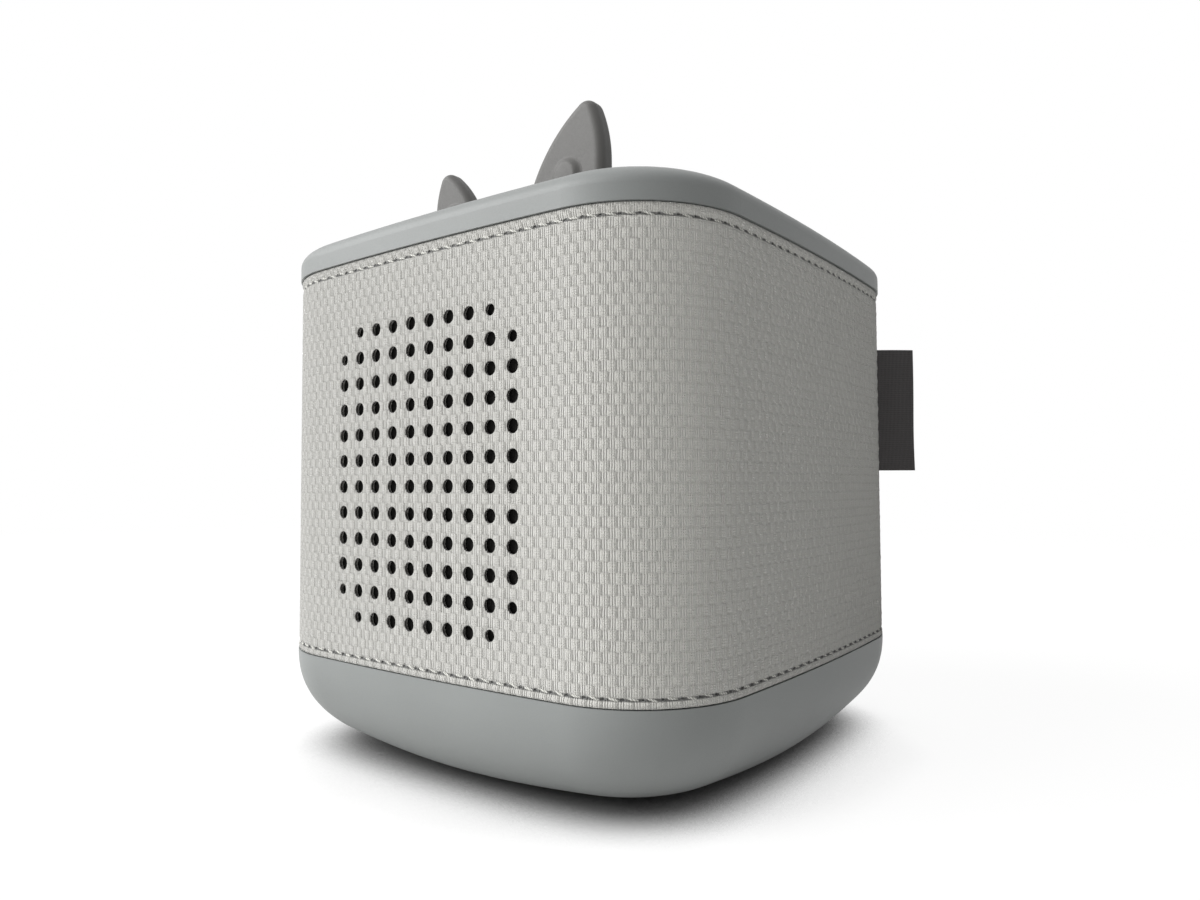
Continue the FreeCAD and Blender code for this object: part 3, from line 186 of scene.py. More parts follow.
# Fabric wrap: one woven strip, punched, hemmed and closed by a seam
wrapLow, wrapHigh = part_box("fabric_wrap")[0][2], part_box("fabric_wrap")[1][2]
wrap = {
    "low": wrapLow - 0.1 * mm, "high": wrapHigh + 0.17 * mm, "thickness": 1.3 * mm, "weld": 0.02 * mm,
    "holePitch": 5.55 * mm, "holeRadius": 1.36 * mm, "endHoleRadius": 1.1 * mm,
    "holeColumns": 10, "holeRows": 12, "holeSides": 16, "fieldX": -0.6 * mm, "fieldRise": 40.5 * mm,
    "punchRound": 0.07 * mm,
    "punchSteps": ((1.0, 0.06 * mm), (0.3, 0.2 * mm), (0.0, 0.5 * mm)),  # share of the rounding, depth
    "cells": 4, "lowPlain": 2, "highPlain": 6, "plainCell": 2.1 * mm, "hemRow": 0.37 * mm,
    "highStitchDrop": 1.85 * mm, "lowStitchRise": 1.5 * mm, "stitchesAround": 125,
    "seamStitchGap": 2.5 * mm, "grooveDepth": 0.3 * mm, "grooveWidth": 0.5 * mm, "seamGrooveShare": 0.5,
    "hemPuff": 0.16 * mm, "edgeRoll": 0.15 * mm, "seamRoll": 1.1 * mm, "seamDepth": 0.95 * mm,
    "seamPuff": 0.25 * mm, "seamPuffPlace": 1.3 * mm, "seamPuffWidth": 0.9 * mm,
}
wrap["fieldZ"] = wrapLow + wrap["fieldRise"]
wrap["highStitch"] = wrapHigh - wrap["highStitchDrop"]
wrap["lowStitch"] = wrapLow + wrap["lowStitchRise"]
wrap["stitchPitch"] = body["around"] / wrap["stitchesAround"]
wrap["cell"] = wrap["holePitch"] / wrap["cells"]
wrap["fieldPlace"] = (body["sideLength"] / 2 + wrap["fieldX"] - body["seamPlace"]) % body["around"]


def fabricLift(x, z):
    fromHem = np.minimum(z - wrap["low"], wrap["high"] - z)
    fromStitch = np.minimum(np.abs(z - wrap["lowStitch"]), np.abs(z - wrap["highStitch"]))
    lift = -wrap["grooveDepth"] * np.exp(-(fromStitch / wrap["grooveWidth"]) ** 2)
    band = np.minimum(wrap["lowStitch"] - wrap["low"], wrap["high"] - wrap["highStitch"])
    puff = np.clip(fromHem / band, 0, 1)
    lift += wrap["hemPuff"] * np.where(puff < 1, np.sin(math.pi * puff), 0)
    roll = 1 - np.clip(fromHem / wrap["edgeRoll"], 0, 1)
    lift -= wrap["edgeRoll"] * (1 - np.sqrt(np.maximum(1 - roll ** 2, 0)))
    fromSeam = np.minimum(x, body["around"] - x)
    seamRoll = 1 - np.clip(fromSeam / wrap["seamRoll"], 0, 1)
    lift -= wrap["seamDepth"] * (1 - np.sqrt(np.maximum(1 - seamRoll ** 2, 0)))
    lift += wrap["seamPuff"] * np.exp(-((fromSeam - wrap["seamPuffPlace"]) / wrap["seamPuffWidth"]) ** 2)
    fromSeamStitch = np.abs(fromSeam - wrap["seamStitchGap"])
    seamGroove = np.exp(-(fromSeamStitch / wrap["grooveWidth"]) ** 2)
    lift -= wrap["seamGrooveShare"] * wrap["grooveDepth"] * seamGroove
    return lift


def wrapRound(piece):
    points = readPoints(piece)
    x, depth, z = points[:, 0], points[:, 1], points[:, 2]
    lift = fabricLift(x, z) - depth
    wallX, wallY, normalX, normalY = outlineAt(x + body["seamPlace"])
    writePoints(piece, np.stack([wallX + normalX * lift, wallY + normalY * lift, z], axis=1))


def fabricPatch(left, right, low, high, columns, rows):
    deselectAll()
    bpy.ops.mesh.primitive_grid_add(
        x_subdivisions=columns, y_subdivisions=rows, size=1,
        location=((left + right) / 2, 0, (low + high) / 2), rotation=(math.pi / 2, 0, 0))
    patch = named("patch")
    patch.scale = (right - left, high - low, 1)
    applyPlace(patch)
    return patch


def holeCell(radius):
    deselectAll()
    pitch = wrap["holePitch"]
    bpy.ops.mesh.primitive_grid_add(x_subdivisions=wrap["cells"], y_subdivisions=wrap["cells"], size=pitch)
    cell = named("holeCell")
    selectVertices(cell, lambda co: max(abs(co.x), abs(co.y)) < 0.49 * pitch)
    bpy.ops.mesh.delete(type="VERT")
    reach = radius + 2 * wrap["punchRound"]
    bpy.ops.mesh.primitive_circle_add(vertices=wrap["holeSides"], radius=reach)
    bpy.ops.mesh.select_all(action="SELECT")
    bpy.ops.mesh.bridge_edge_loops()
    for share, depth in wrap["punchSteps"]:
        newRadius = radius + share * wrap["punchRound"]
        selectVertices(cell, lambda co: math.hypot(co.x, co.y) < reach * 1.02)
        bpy.ops.mesh.select_mode(type="EDGE")
        bpy.ops.mesh.extrude_edges_move()
        bpy.ops.transform.resize(value=(newRadius / reach, newRadius / reach, 1))
        bpy.ops.mesh.select_mode(type="VERT")
        bpy.ops.object.mode_set(mode="OBJECT")
        for vertex in cell.data.vertices:
            if vertex.select:
                vertex.co.z = -depth
        bpy.ops.object.mode_set(mode="EDIT")
        reach = newRadius
    bpy.ops.mesh.select_all(action="SELECT")
    bpy.ops.mesh.normals_make_consistent(inside=False)
    bpy.ops.object.mode_set(mode="OBJECT")
    cell.rotation_euler = (math.pi / 2, 0, 0)
    applyPlace(cell)
    return cell


def makeFabricWrap():
    cell, cells, pitch = wrap["cell"], wrap["cells"], wrap["holePitch"]
    halfField = wrap["holeColumns"] * pitch / 2
    halfHeight = wrap["holeRows"] * pitch / 2
    fieldLeft, fieldRight = wrap["fieldPlace"] - halfField, wrap["fieldPlace"] + halfField
    fieldLow, fieldHigh = wrap["fieldZ"] - halfHeight, wrap["fieldZ"] + halfHeight
    mainLow, mainHigh = fieldLow - wrap["lowPlain"] * cell, fieldHigh + wrap["highPlain"] * cell
    lowRows = round((mainLow - wrap["low"]) / wrap["hemRow"])
    highRows = round((wrap["high"] - mainHigh) / wrap["hemRow"])
    mainRows = wrap["lowPlain"] + wrap["highPlain"] + cells * wrap["holeRows"]
    patches = []
    strips = ((0, fieldLeft, round(fieldLeft / wrap["plainCell"])),
              (fieldLeft, fieldRight, cells * wrap["holeColumns"]),
              (fieldRight, body["around"], round((body["around"] - fieldRight) / wrap["plainCell"])))
    for left, right, columns in strips:
        patches.append(fabricPatch(left, right, wrap["low"], mainLow, columns, lowRows))
        patches.append(fabricPatch(left, right, mainHigh, wrap["high"], columns, highRows))
        if left == fieldLeft:
            patches.append(fabricPatch(left, right, mainLow, fieldLow, columns, wrap["lowPlain"]))
            patches.append(fabricPatch(left, right, fieldHigh, mainHigh, columns, wrap["highPlain"]))
        else:
            patches.append(fabricPatch(left, right, mainLow, mainHigh, columns, mainRows))
    wide, narrow = holeCell(wrap["holeRadius"]), holeCell(wrap["endHoleRadius"])
    for row in range(wrap["holeRows"]):
        for column in range(wrap["holeColumns"]):
            x = fieldLeft + (column + 0.5) * pitch
            z = fieldLow + (row + 0.5) * pitch
            fromSide = min(column, wrap["holeColumns"] - 1 - column)
            fromCorner = min(row, wrap["holeRows"] - 1 - row) + fromSide
            if fromCorner == 0:  # the field's four corners stay whole
                half = pitch / 2
                patches.append(fabricPatch(x - half, x + half, z - half, z + half, cells, cells))
            else:
                patches.append(copyAt(narrow if fromCorner == 1 else wide, (x, 0, z)))
    bpy.data.objects.remove(wide)
    bpy.data.objects.remove(narrow)
    fabric = joined(patches, "wovenWrap")
    applyPlace(fabric)
    mergeDoubles(fabric, wrap["weld"])
    points = readPoints(fabric)
    keepFlatCut(fabric, points)
    cutDepth = fabric.data.attributes.new("cutDepth", "FLOAT", "POINT")
    cutDepth.data.foreach_set("value", points[:, 1])  # how far a vertex stands inside a punched hole
    wrapRound(fabric)
    applyModifier(fabric, "SOLIDIFY", thickness=wrap["thickness"], offset=-1, use_rim=True)
    shadeSmooth(fabric, 50)
    return fabric


fabricWrap = makeFabricWrap()
print("fabric wrap", len(fabricWrap.data.polygons), "faces")

# Stitches: one thread segment, copied along both hems and both sides of the seam
thread = {"radius": 0.2 * mm, "length": 3.0 * mm, "sides": 8, "rings": 7, "dip": 0.512 * mm,
          "rise": 0.05 * mm, "tilt": math.radians(11), "stray": 0.07 * mm, "turnStray": math.radians(6),
          "strayBeat": (1.7, 2.9, 2.4)}


def makeStitch():
    deselectAll()
    bpy.ops.mesh.primitive_uv_sphere_add(segments=thread["sides"], ring_count=thread["rings"], radius=1,
                                         rotation=(0, math.pi / 2, 0))
    stitch = named("stitch")
    stitch.scale = (thread["radius"], thread["radius"], thread["length"] / 2)
    applyPlace(stitch)
    points = readPoints(stitch)
    along = points[:, 0] / (thread["length"] / 2)
    fat = np.sqrt(np.maximum(1 - np.abs(along) ** 4, 0.0)) / np.sqrt(np.maximum(1 - along ** 2, 0.02))
    # both ends go down into the cloth
    points[:, 1] = points[:, 1] * fat - thread["rise"] + thread["dip"] * along ** 2
    points[:, 2] *= fat
    writePoints(stitch, points)
    return stitch


def stitchRow(places, name):
    source = makeStitch()
    beatX, beatZ, beatTurn = thread["strayBeat"]
    made = []
    for index, (x, z, turn) in enumerate(places):
        twin = copyAt(source, (x + thread["stray"] * math.sin(index * beatX), 0,
                               z + thread["stray"] * math.sin(index * beatZ)))
        twin.rotation_euler = (0, turn + thread["turnStray"] * math.sin(index * beatTurn), 0)
        made.append(twin)
    bpy.data.objects.remove(source)
    row = joined(made, name)
    applyPlace(row)
    wrapRound(row)
    makeActive(row)
    bpy.ops.object.shade_smooth()
    return row


pitch = wrap["stitchPitch"]
hemPlaces = {}
for name, z in (("highHemStitches", wrap["highStitch"]), ("lowHemStitches", wrap["lowStitch"])):
    hemPlaces[name] = [((i + 0.5) * pitch, z, thread["tilt"]) for i in range(1, wrap["stitchesAround"] - 1)]
seamCount = int((wrap["highStitch"] - wrap["lowStitch"]) / pitch) - 1
seamLow = (wrap["highStitch"] + wrap["lowStitch"] - seamCount * pitch) / 2
seamPlaces = []
for x in (wrap["seamStitchGap"], body["around"] - wrap["seamStitchGap"]):
    seamPlaces += [(x, seamLow + (i + 0.5) * pitch, math.pi / 2 + thread["tilt"]) for i in range(seamCount)]
hemStitches = [stitchRow(places, name) for name, places in hemPlaces.items()]
hemStitches.append(stitchRow(seamPlaces, "seamStitches"))
print("stitches", [len(row.data.polygons) for row in hemStitches])

# Loop label: one ribbon folded over, with both ends sewn into the seam
label = {"low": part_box("side_tag")[0][2], "high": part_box("side_tag")[1][2], "stand": 9.2 * mm,
         "sewn": 0.9 * mm, "foldReach": 0.6 * mm, "thickness": 0.45 * mm, "gap": 0.3 * mm,
         "lean": math.radians(36.9), "loopBulge": 0.18 * mm, "columns": 56, "rows": 30,
         "wave": 0.22 * mm, "sideWave": (1.1, 0.6), "endWave": (0.9, 2.2)}  # waves: turns, start


def makeLabel():
    leg = label["stand"] + label["sewn"] - label["foldReach"]
    half = (label["thickness"] + label["gap"]) / 2
    flatLength = 2 * leg + math.pi * half
    width = label["high"] - label["low"]
    deselectAll()
    bpy.ops.mesh.primitive_grid_add(
        x_subdivisions=label["columns"], y_subdivisions=label["rows"], size=1,
        rotation=(math.pi / 2, 0, 0), location=(0, 0, (label["low"] + label["high"]) / 2))
    ribbon = named("loopLabel")
    ribbon.scale = (flatLength, width, 1)
    applyPlace(ribbon)
    points = readPoints(ribbon)
    keepFlatCut(ribbon, points)
    # the fold is made along x = 0; a bow of the loop keeps its two faces a little apart near the fold
    flat, z = points[:, 0], points[:, 2]
    bend = math.pi * half / 2
    onLeg = np.abs(flat) > bend
    foldAngle = flat / bend * math.pi / 2
    along = np.where(onLeg, leg - (np.abs(flat) - bend), leg + half * np.cos(foldAngle))
    aside = np.where(onLeg, np.sign(flat) * half, half * np.sin(foldAngle))
    bow = np.sin(math.pi * np.clip(along / leg, 0, 1)) ** 2
    aside += np.sign(flat) * label["loopBulge"] * bow * np.where(onLeg, 1, 0)
    # a soft wave runs along the width and dies out towards the seam
    height = (z - label["low"]) / width * 2 * math.pi
    wave = label["wave"] * smoothStep(along / leg)
    aside = aside + wave * np.sin(height * label["sideWave"][0] + label["sideWave"][1])
    along = along + wave / 2 * np.sin(height * label["endWave"][0] + label["endWave"][1]) - label["sewn"]
    rootX, rootY = [float(value) for value in outlineAt(np.array(body["seamPlace"]))[:2]]
    outX, outY = math.cos(label["lean"]), math.sin(label["lean"])
    writePoints(ribbon, np.stack([rootX + outX * along - outY * aside,
                                  rootY + outY * along + outX * aside, z], axis=1))
    applyModifier(ribbon, "SOLIDIFY", thickness=label["thickness"], offset=0, use_rim=True)
    shadeSmooth(ribbon, 40)
    return ribbon, flatLength, width


loopLabel, labelLength, labelWidth = makeLabel()
print("label", round(labelLength / mm, 1), "x", round(labelWidth / mm, 1), "mm flat")

# Soft skins over the two volume keys
skin = {"radius": 4.35 * mm, "height": 1.15 * mm, "face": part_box("big_ear_cover")[0][1], "proud": 0.03 * mm,
        "rings": 15, "sides": 56, "tuck": 0.25 * mm, "crown": 2.5 * mm, "domeFall": 0.3,
        "holeReach": 3.9 * mm, "castFrom": -200 * mm}


def makeKeySkin(name, cover, centreX, centreZ):
    tree = BVHTree.FromObject(nodes[cover], bpy.context.evaluated_depsgraph_get())
    deselectAll()
    bpy.ops.mesh.primitive_circle_add(vertices=skin["sides"], radius=skin["radius"], fill_type="NGON")
    patch = named(name)
    bpy.ops.object.mode_set(mode="EDIT")
    bpy.ops.mesh.select_all(action="SELECT")
    for ring in range(skin["rings"] - 1):
        bpy.ops.mesh.inset(thickness=skin["radius"] / skin["rings"])
    bpy.ops.mesh.poke()
    bpy.ops.object.mode_set(mode="OBJECT")
    points = readPoints(patch)
    away = np.hypot(points[:, 0], points[:, 1])
    rise = skin["height"] * (1 - smoothStep((away - skin["crown"]) / (skin["radius"] - skin["crown"])))
    rise *= 1 - skin["domeFall"] * (away / skin["radius"]) ** 2
    for index, point in enumerate(points):
        face = skin["face"]
        if away[index] > skin["holeReach"]:  # the rim follows the rounded face of the ear
            start = Vector((centreX + point[0], skin["castFrom"], centreZ + point[1]))
            hit = tree.ray_cast(start, Vector((0, 1, 0)))[0]
            face = hit.y if hit else face
        points[index, 2] = rise[index] + skin["proud"] + skin["face"] - face
    writePoints(patch, points)
    makeActive(patch)
    selectVertices(patch, lambda co: math.hypot(co.x, co.y) > skin["radius"] * 0.99)
    bpy.ops.mesh.select_mode(type="EDGE")
    bpy.ops.mesh.extrude_edges_move(TRANSFORM_OT_translate={"value": (0, 0, -skin["tuck"])})
    bpy.ops.mesh.select_mode(type="VERT")
    bpy.ops.object.mode_set(mode="OBJECT")
    patch.rotation_euler = (math.pi / 2, 0, 0)
    patch.location = (centreX, skin["face"], centreZ)
    applyPlace(patch)
    shadeSmooth(patch, 60)
    return patch


keyCentres = {}
for key in ("big_ear_key", "small_ear_key"):
    low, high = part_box(key)
    keyCentres[key] = ((low[0] + high[0]) / 2, (low[2] + high[2]) / 2)
bigSkin = makeKeySkin("bigKeySkin", "big_ear_cover", *keyCentres["big_ear_key"])
smallSkin = makeKeySkin("smallKeySkin", "small_ear_cover", *keyCentres["small_ear_key"])
print("key skins made")


# Materials
def linear(hexColour):
    channels = [int(hexColour[i:i + 2], 16) / 255 for i in (0, 2, 4)]
    return tuple(c / 12.92 if c <= 0.04045 else ((c + 0.055) / 1.055) ** 2.4 for c in channels) + (1.0,)


def addNode(material, kind, inputs=None, **settings):
    node = material.node_tree.nodes.new("ShaderNode" + kind)
    for key, value in settings.items():
        setattr(node, key, value)
    for key, value in (inputs or {}).items():
        if isinstance(value, bpy.types.NodeSocket):
            material.node_tree.links.new(value, node.inputs[key])
        else:
            node.inputs[key].default_value = value
    return node


def newMaterial(name, **constants):
    material = bpy.data.materials.new(name)
    material.use_nodes = True
    shader = material.node_tree.nodes["Principled BSDF"]
    for key, value in constants.items():
        shader.inputs[key].default_value = value
    return material, shader


def feed(material, shader, sources):
    for key, source in sources.items():
        material.node_tree.links.new(source, shader.inputs[key])
    return material


def wovenPolyester():
    # Polyester yarn in a checker weave: fine upright ribs on the warp pads press through the weft pads beside
    # them, and each pad's ends dive under its neighbours, so light raking over the cloth draws ribs and steps
    cloth = {"pad": (1.378 * mm, 1.92 * mm), "ribs": (3.0, 4.0), "ribDepth": (0.45, 0.25),
             "edge": (0.42, 0.5), "dive": (0.45, 0.42), "swell": (0.24, 0.76), "press": (0.7, 0.26),
             "drift": (0.2 * mm, 0.2 * mm, 0), "relief": 0.6 * mm, "fuzzRelief": 0.25,
             "hollows": (0.3, 0.8), "paintedShadeTones": (0.04, 0.4),
             "colour": "edece7", "shade": "b0aea7", "pit": "2b2c28", "cut": "231c15"}
    needle = {"pit": (0.2 * mm, 0.52 * mm), "oval": 1.5, "depth": -1.5, "groove": (0.16 * mm, 0.37 * mm),
              "grooveDrop": 0.09 * mm, "grooveShade": 0.8, "cut": (0.04 * mm, 0.2 * mm)}
    material, shader = newMaterial("wovenPolyester", **{
        "Roughness": 0.92, "Sheen Weight": 0.45, "Sheen Roughness": 0.6, "Specular IOR Level": 0.25,
        "Diffuse Roughness": 1.0})
    uv = addNode(material, "UVMap", uv_map="cloth")
    wander = addNode(material, "TexNoise", {"Vector": uv.outputs[0], "Scale": 0.6 / mm, "Detail": 2.0})
    place = addNode(material, "VectorMath", {0: wander.outputs["Color"], 1: cloth["drift"],
                                             2: uv.outputs[0]}, operation="MULTIPLY_ADD")
    pads = addNode(material, "VectorMath", {0: place.outputs[0], 1: (*cloth["pad"], 1)}, operation="DIVIDE")
    isWarp = addNode(material, "TexChecker", {"Vector": pads.outputs[0], "Scale": 1.0})
    inside = addNode(material, "VectorMath", {0: pads.outputs[0]}, operation="FRACTION")
    halfTurns = addNode(material, "VectorMath", {0: inside.outputs[0], "Scale": math.pi}, operation="SCALE")
    dome = addNode(material, "VectorMath", {0: halfTurns.outputs[0]}, operation="SINE")
    ends = addNode(material, "MapRange", {"Vector": dome.outputs[0], "From Max": (*cloth["edge"], 1)},
                   data_type="FLOAT_VECTOR", interpolation_type="SMOOTHSTEP")
    ends = addNode(material, "VectorMath", {0: ends.outputs["Vector"], 1: (*cloth["dive"], 0),
                                            2: (*(1 - dive for dive in cloth["dive"]), 0)},
                   operation="MULTIPLY_ADD")
    ribTurns = addNode(material, "VectorMath", {0: halfTurns.outputs[0], 1: (*cloth["ribs"], 0)},
                       operation="MULTIPLY")
    ribs = addNode(material, "VectorMath", {0: ribTurns.outputs[0]}, operation="COSINE")
    ribs = addNode(material, "VectorMath", {0: ribs.outputs[0]}, operation="ABSOLUTE")
    ribs = addNode(material, "VectorMath", {0: ribs.outputs[0], 1: (*cloth["ribDepth"], 0),
                                            2: (*(1 - depth for depth in cloth["ribDepth"]), 0)},
                   operation="MULTIPLY_ADD")
    domeParts = addNode(material, "SeparateXYZ", {0: dome.outputs[0]})
    endParts = addNode(material, "SeparateXYZ", {0: ends.outputs[0]})
    ribParts = addNode(material, "SeparateXYZ", {0: ribs.outputs[0]})
    warp = addNode(material, "Math", {0: endParts.outputs[1], 1: ribParts.outputs[0]}, operation="MULTIPLY")
    weft = addNode(material, "Math", {0: endParts.outputs[0], 1: ribParts.outputs[1]}, operation="MULTIPLY")
    swell = addNode(material, "Math", {0: domeParts.outputs[1], 1: cloth["swell"][0], 2: cloth["swell"][1]},
                    operation="MULTIPLY_ADD")
    weft = addNode(material, "Math", {0: weft.outputs[0], 1: swell.outputs[0]}, operation="MULTIPLY")
    pressed = addNode(material, "Math", {0: ribParts.outputs[0], 1: cloth["press"][0], 2: cloth["press"][1]},
                      operation="MULTIPLY_ADD")
    weft = addNode(material, "Math", {0: weft.outputs[0], 1: pressed.outputs[0]}, operation="MULTIPLY")
    height = addNode(material, "Mix", {"Factor": isWarp.outputs["Fac"], "A": weft.outputs[0],
                                       "B": warp.outputs[0]})

    # needle holes stand where two stitches meet: along both hems, and along both sides of the seam; the holes
    # and a groove just under each hem thread are painted dark as shade
    halfPitch, halfAround = wrap["stitchPitch"] / 2, body["around"] / 2
    halfBetween = (wrap["highStitch"] - wrap["lowStitch"]) / 2
    oval = needle["oval"]
    hem = addNode(material, "VectorMath", {0: uv.outputs[0], 1: (0, wrap["lowStitch"], 0)},
                  operation="SUBTRACT")
    hem = addNode(material, "VectorMath", {0: hem.outputs[0], 1: (halfPitch, halfBetween, 1),
                                           2: (-halfPitch, -halfBetween, -1)}, operation="WRAP")
    seam = addNode(material, "VectorMath", {0: uv.outputs[0], 1: (0, seamLow, 0)}, operation="SUBTRACT")
    seam = addNode(material, "VectorMath", {0: seam.outputs[0], 1: (halfAround, halfPitch, 1),
                                            2: (-halfAround, -halfPitch, -1)}, operation="WRAP")
    seam = addNode(material, "VectorMath", {0: seam.outputs[0]}, operation="ABSOLUTE")
    seam = addNode(material, "VectorMath", {0: seam.outputs[0], 1: (wrap["seamStitchGap"], 0, 0)},
                   operation="SUBTRACT")
    hemReach = addNode(material, "VectorMath", {0: hem.outputs[0], 1: (1, oval, 0)}, operation="MULTIPLY")
    seamReach = addNode(material, "VectorMath", {0: seam.outputs[0], 1: (oval, 1, 0)}, operation="MULTIPLY")
    hemReach = addNode(material, "VectorMath", {0: hemReach.outputs[0]}, operation="LENGTH")
    seamReach = addNode(material, "VectorMath", {0: seamReach.outputs[0]}, operation="LENGTH")
    reach = addNode(material, "Math", {0: hemReach.outputs["Value"], 1: seamReach.outputs["Value"]},
                    operation="MINIMUM")
    pits = addNode(material, "MapRange", {"Value": reach.outputs[0], "From Min": needle["pit"][0],
                                          "From Max": needle["pit"][1], "To Min": 1.0, "To Max": 0.0},
                   interpolation_type="SMOOTHSTEP")
    hemParts = addNode(material, "SeparateXYZ", {0: hem.outputs[0]})
    hemLine = addNode(material, "Math", {0: hemParts.outputs[1], 1: needle["grooveDrop"]}, operation="ADD")
    hemLine = addNode(material, "Math", {0: hemLine.outputs[0]}, operation="ABSOLUTE")
    groove = addNode(material, "MapRange", {
        "Value": hemLine.outputs[0], "From Min": needle["groove"][0], "From Max": needle["groove"][1],
        "To Min": needle["grooveShade"], "To Max": 0.0}, interpolation_type="SMOOTHSTEP")
    shadow = addNode(material, "Math", {0: pits.outputs[0], 1: groove.outputs[0]}, operation="MAXIMUM")

    # the hollows between the yarns are painted darker as shade, and loose fibres break up the tone
    fuzz = addNode(material, "TexNoise", {"Vector": uv.outputs[0], "Scale": 5.2 / mm, "Detail": 3.0})
    paintedShade = addNode(material, "MapRange", {
        "Value": height.outputs[0], "From Min": cloth["hollows"][0], "From Max": cloth["hollows"][1],
        "To Min": cloth["paintedShadeTones"][0], "To Max": cloth["paintedShadeTones"][1]})
    tone = addNode(material, "Math", {0: paintedShade.outputs[0], 1: fuzz.outputs[0]}, operation="ADD")
    tint = addNode(material, "Mix", {"Factor": tone.outputs[0], "A": linear(cloth["shade"]),
                                     "B": linear(cloth["colour"])}, data_type="RGBA")
    # painted shade in the needle holes and in the groove under each hem thread
    tint = addNode(material, "Mix", {"Factor": shadow.outputs[0], "A": tint.outputs[2],
                                     "B": linear(cloth["pit"])}, data_type="RGBA")
    # painted shade: the wall of a punched hole is painted dark brown, as the shade inside the hole
    depth = addNode(material, "Attribute", attribute_name="cutDepth")
    cut = addNode(material, "MapRange", {"Value": depth.outputs["Fac"], "From Min": needle["cut"][0],
                                         "From Max": needle["cut"][1]})
    tint = addNode(material, "Mix", {"Factor": cut.outputs[0], "A": tint.outputs[2],
                                     "B": linear(cloth["cut"])}, data_type="RGBA")
    relief = addNode(material, "Math", {0: fuzz.outputs[0], 1: cloth["fuzzRelief"], 2: height.outputs[0]},
                     operation="MULTIPLY_ADD")
    relief = addNode(material, "Math", {0: pits.outputs[0], 1: needle["depth"], 2: relief.outputs[0]},
                     operation="MULTIPLY_ADD")
    bump = addNode(material, "Bump", {"Height": relief.outputs[0], "Distance": cloth["relief"],
                                      "Strength": 1.0})
    return feed(material, shader, {"Base Color": tint.outputs[2], "Normal": bump.outputs[0]})


def grained(name, colour, darker, grain, relief, roughness, **constants):
    # Surface of a spark-eroded mould: a fine even grain, a touch duller in its hollows
    material, shader = newMaterial(name, **constants)
    place = addNode(material, "TexCoord")
    fine = addNode(material, "TexNoise", {"Vector": place.outputs["Object"], "Scale": 1 / grain,
                                          "Detail": 3.0, "Roughness": 0.6})
    broad = addNode(material, "TexNoise", {"Vector": place.outputs["Object"], "Scale": 0.045 / mm,
                                           "Detail": 2.0})
    both = addNode(material, "Math", {0: fine.outputs[0], 1: 0.55, 2: broad.outputs[0]},
                   operation="MULTIPLY_ADD")
    blend = addNode(material, "MapRange", {"Value": both.outputs[0], "From Min": 0.45, "From Max": 1.1})
    tint = addNode(material, "Mix", {"Factor": blend.outputs[0], "A": linear(darker), "B": linear(colour)},
                   data_type="RGBA")
    rough = addNode(material, "MapRange", {"Value": fine.outputs[0], "From Min": 0.3, "From Max": 0.7,
                                           "To Min": roughness + 0.06, "To Max": roughness - 0.06})
    bump = addNode(material, "Bump", {"Height": fine.outputs[0], "Distance": relief, "Strength": 1.0})
    return feed(material, shader, {"Base Color": tint.outputs[2], "Roughness": rough.outputs[0],
                                   "Normal": bump.outputs[0]})


def brushed(name, colour, darker, roughness, stretch, scale, relief=0.01 * mm, **constants):
    # Metal that keeps the fine lines of drawing, turning or plating
    material, shader = newMaterial(name, Metallic=1.0, **constants)
    place = addNode(material, "TexCoord")
    long = addNode(material, "Mapping", {"Vector": place.outputs["Object"], "Scale": stretch})
    lines = addNode(material, "TexNoise", {"Vector": long.outputs[0], "Scale": scale, "Detail": 3.0})
    tint = addNode(material, "Mix", {"Factor": lines.outputs[0], "A": linear(darker), "B": linear(colour)},
                   data_type="RGBA")
    rough = addNode(material, "MapRange", {"Value": lines.outputs[0], "To Min": roughness + 0.08,
                                           "To Max": roughness - 0.08})
    bump = addNode(material, "Bump", {"Height": lines.outputs[0], "Distance": relief})
    return feed(material, shader, {"Base Color": tint.outputs[2], "Roughness": rough.outputs[0],
                                   "Normal": bump.outputs[0]})


def fibrous(name, colour, darker, grain, relief, roughness=0.95, **constants):
    # Foam, felted cloth or pressed paper: open cells or fibres whose hollows are painted darker as soft shade
    material, shader = newMaterial(name, Roughness=roughness, **constants)
    place = addNode(material, "TexCoord")
    cells = addNode(material, "TexVoronoi", {"Vector": place.outputs["Object"], "Scale": 1 / grain})
    fuzz = addNode(material, "TexNoise", {"Vector": place.outputs["Object"], "Scale": 3 / grain,
                                          "Detail": 3.0})
    both = addNode(material, "Math", {0: cells.outputs["Distance"], 1: fuzz.outputs[0]}, operation="MULTIPLY")
    blend = addNode(material, "MapRange", {"Value": both.outputs[0], "From Min": 0.05, "From Max": 0.5})
    tint = addNode(material, "Mix", {"Factor": blend.outputs[0], "A": linear(darker), "B": linear(colour)},
                   data_type="RGBA")
    bump = addNode(material, "Bump", {"Height": both.outputs[0], "Distance": relief})
    return feed(material, shader, {"Base Color": tint.outputs[2], "Normal": bump.outputs[0]})


def spunThread():
    # Spun polyester sewing thread: two plies twisted together, seen as slanting bands across each stitch; the
    # darker bands are painted shade between the plies
    material, shader = newMaterial("spunThread", **{"Roughness": 0.8, "Sheen Weight": 0.2})
    place = addNode(material, "TexCoord")
    twist = addNode(material, "TexWave", {"Vector": place.outputs["Object"], "Scale": 0.9 / mm,
                                          "Distortion": 1.5, "Detail": 1.0}, bands_direction="DIAGONAL")
    tint = addNode(material, "Mix", {"Factor": twist.outputs["Fac"], "A": linear("b4b4ac"),
                                     "B": linear("f0efea")}, data_type="RGBA")
    bump = addNode(material, "Bump", {"Height": twist.outputs["Fac"], "Distance": 0.08 * mm})
    return feed(material, shader, {"Base Color": tint.outputs[2], "Normal": bump.outputs[0]})


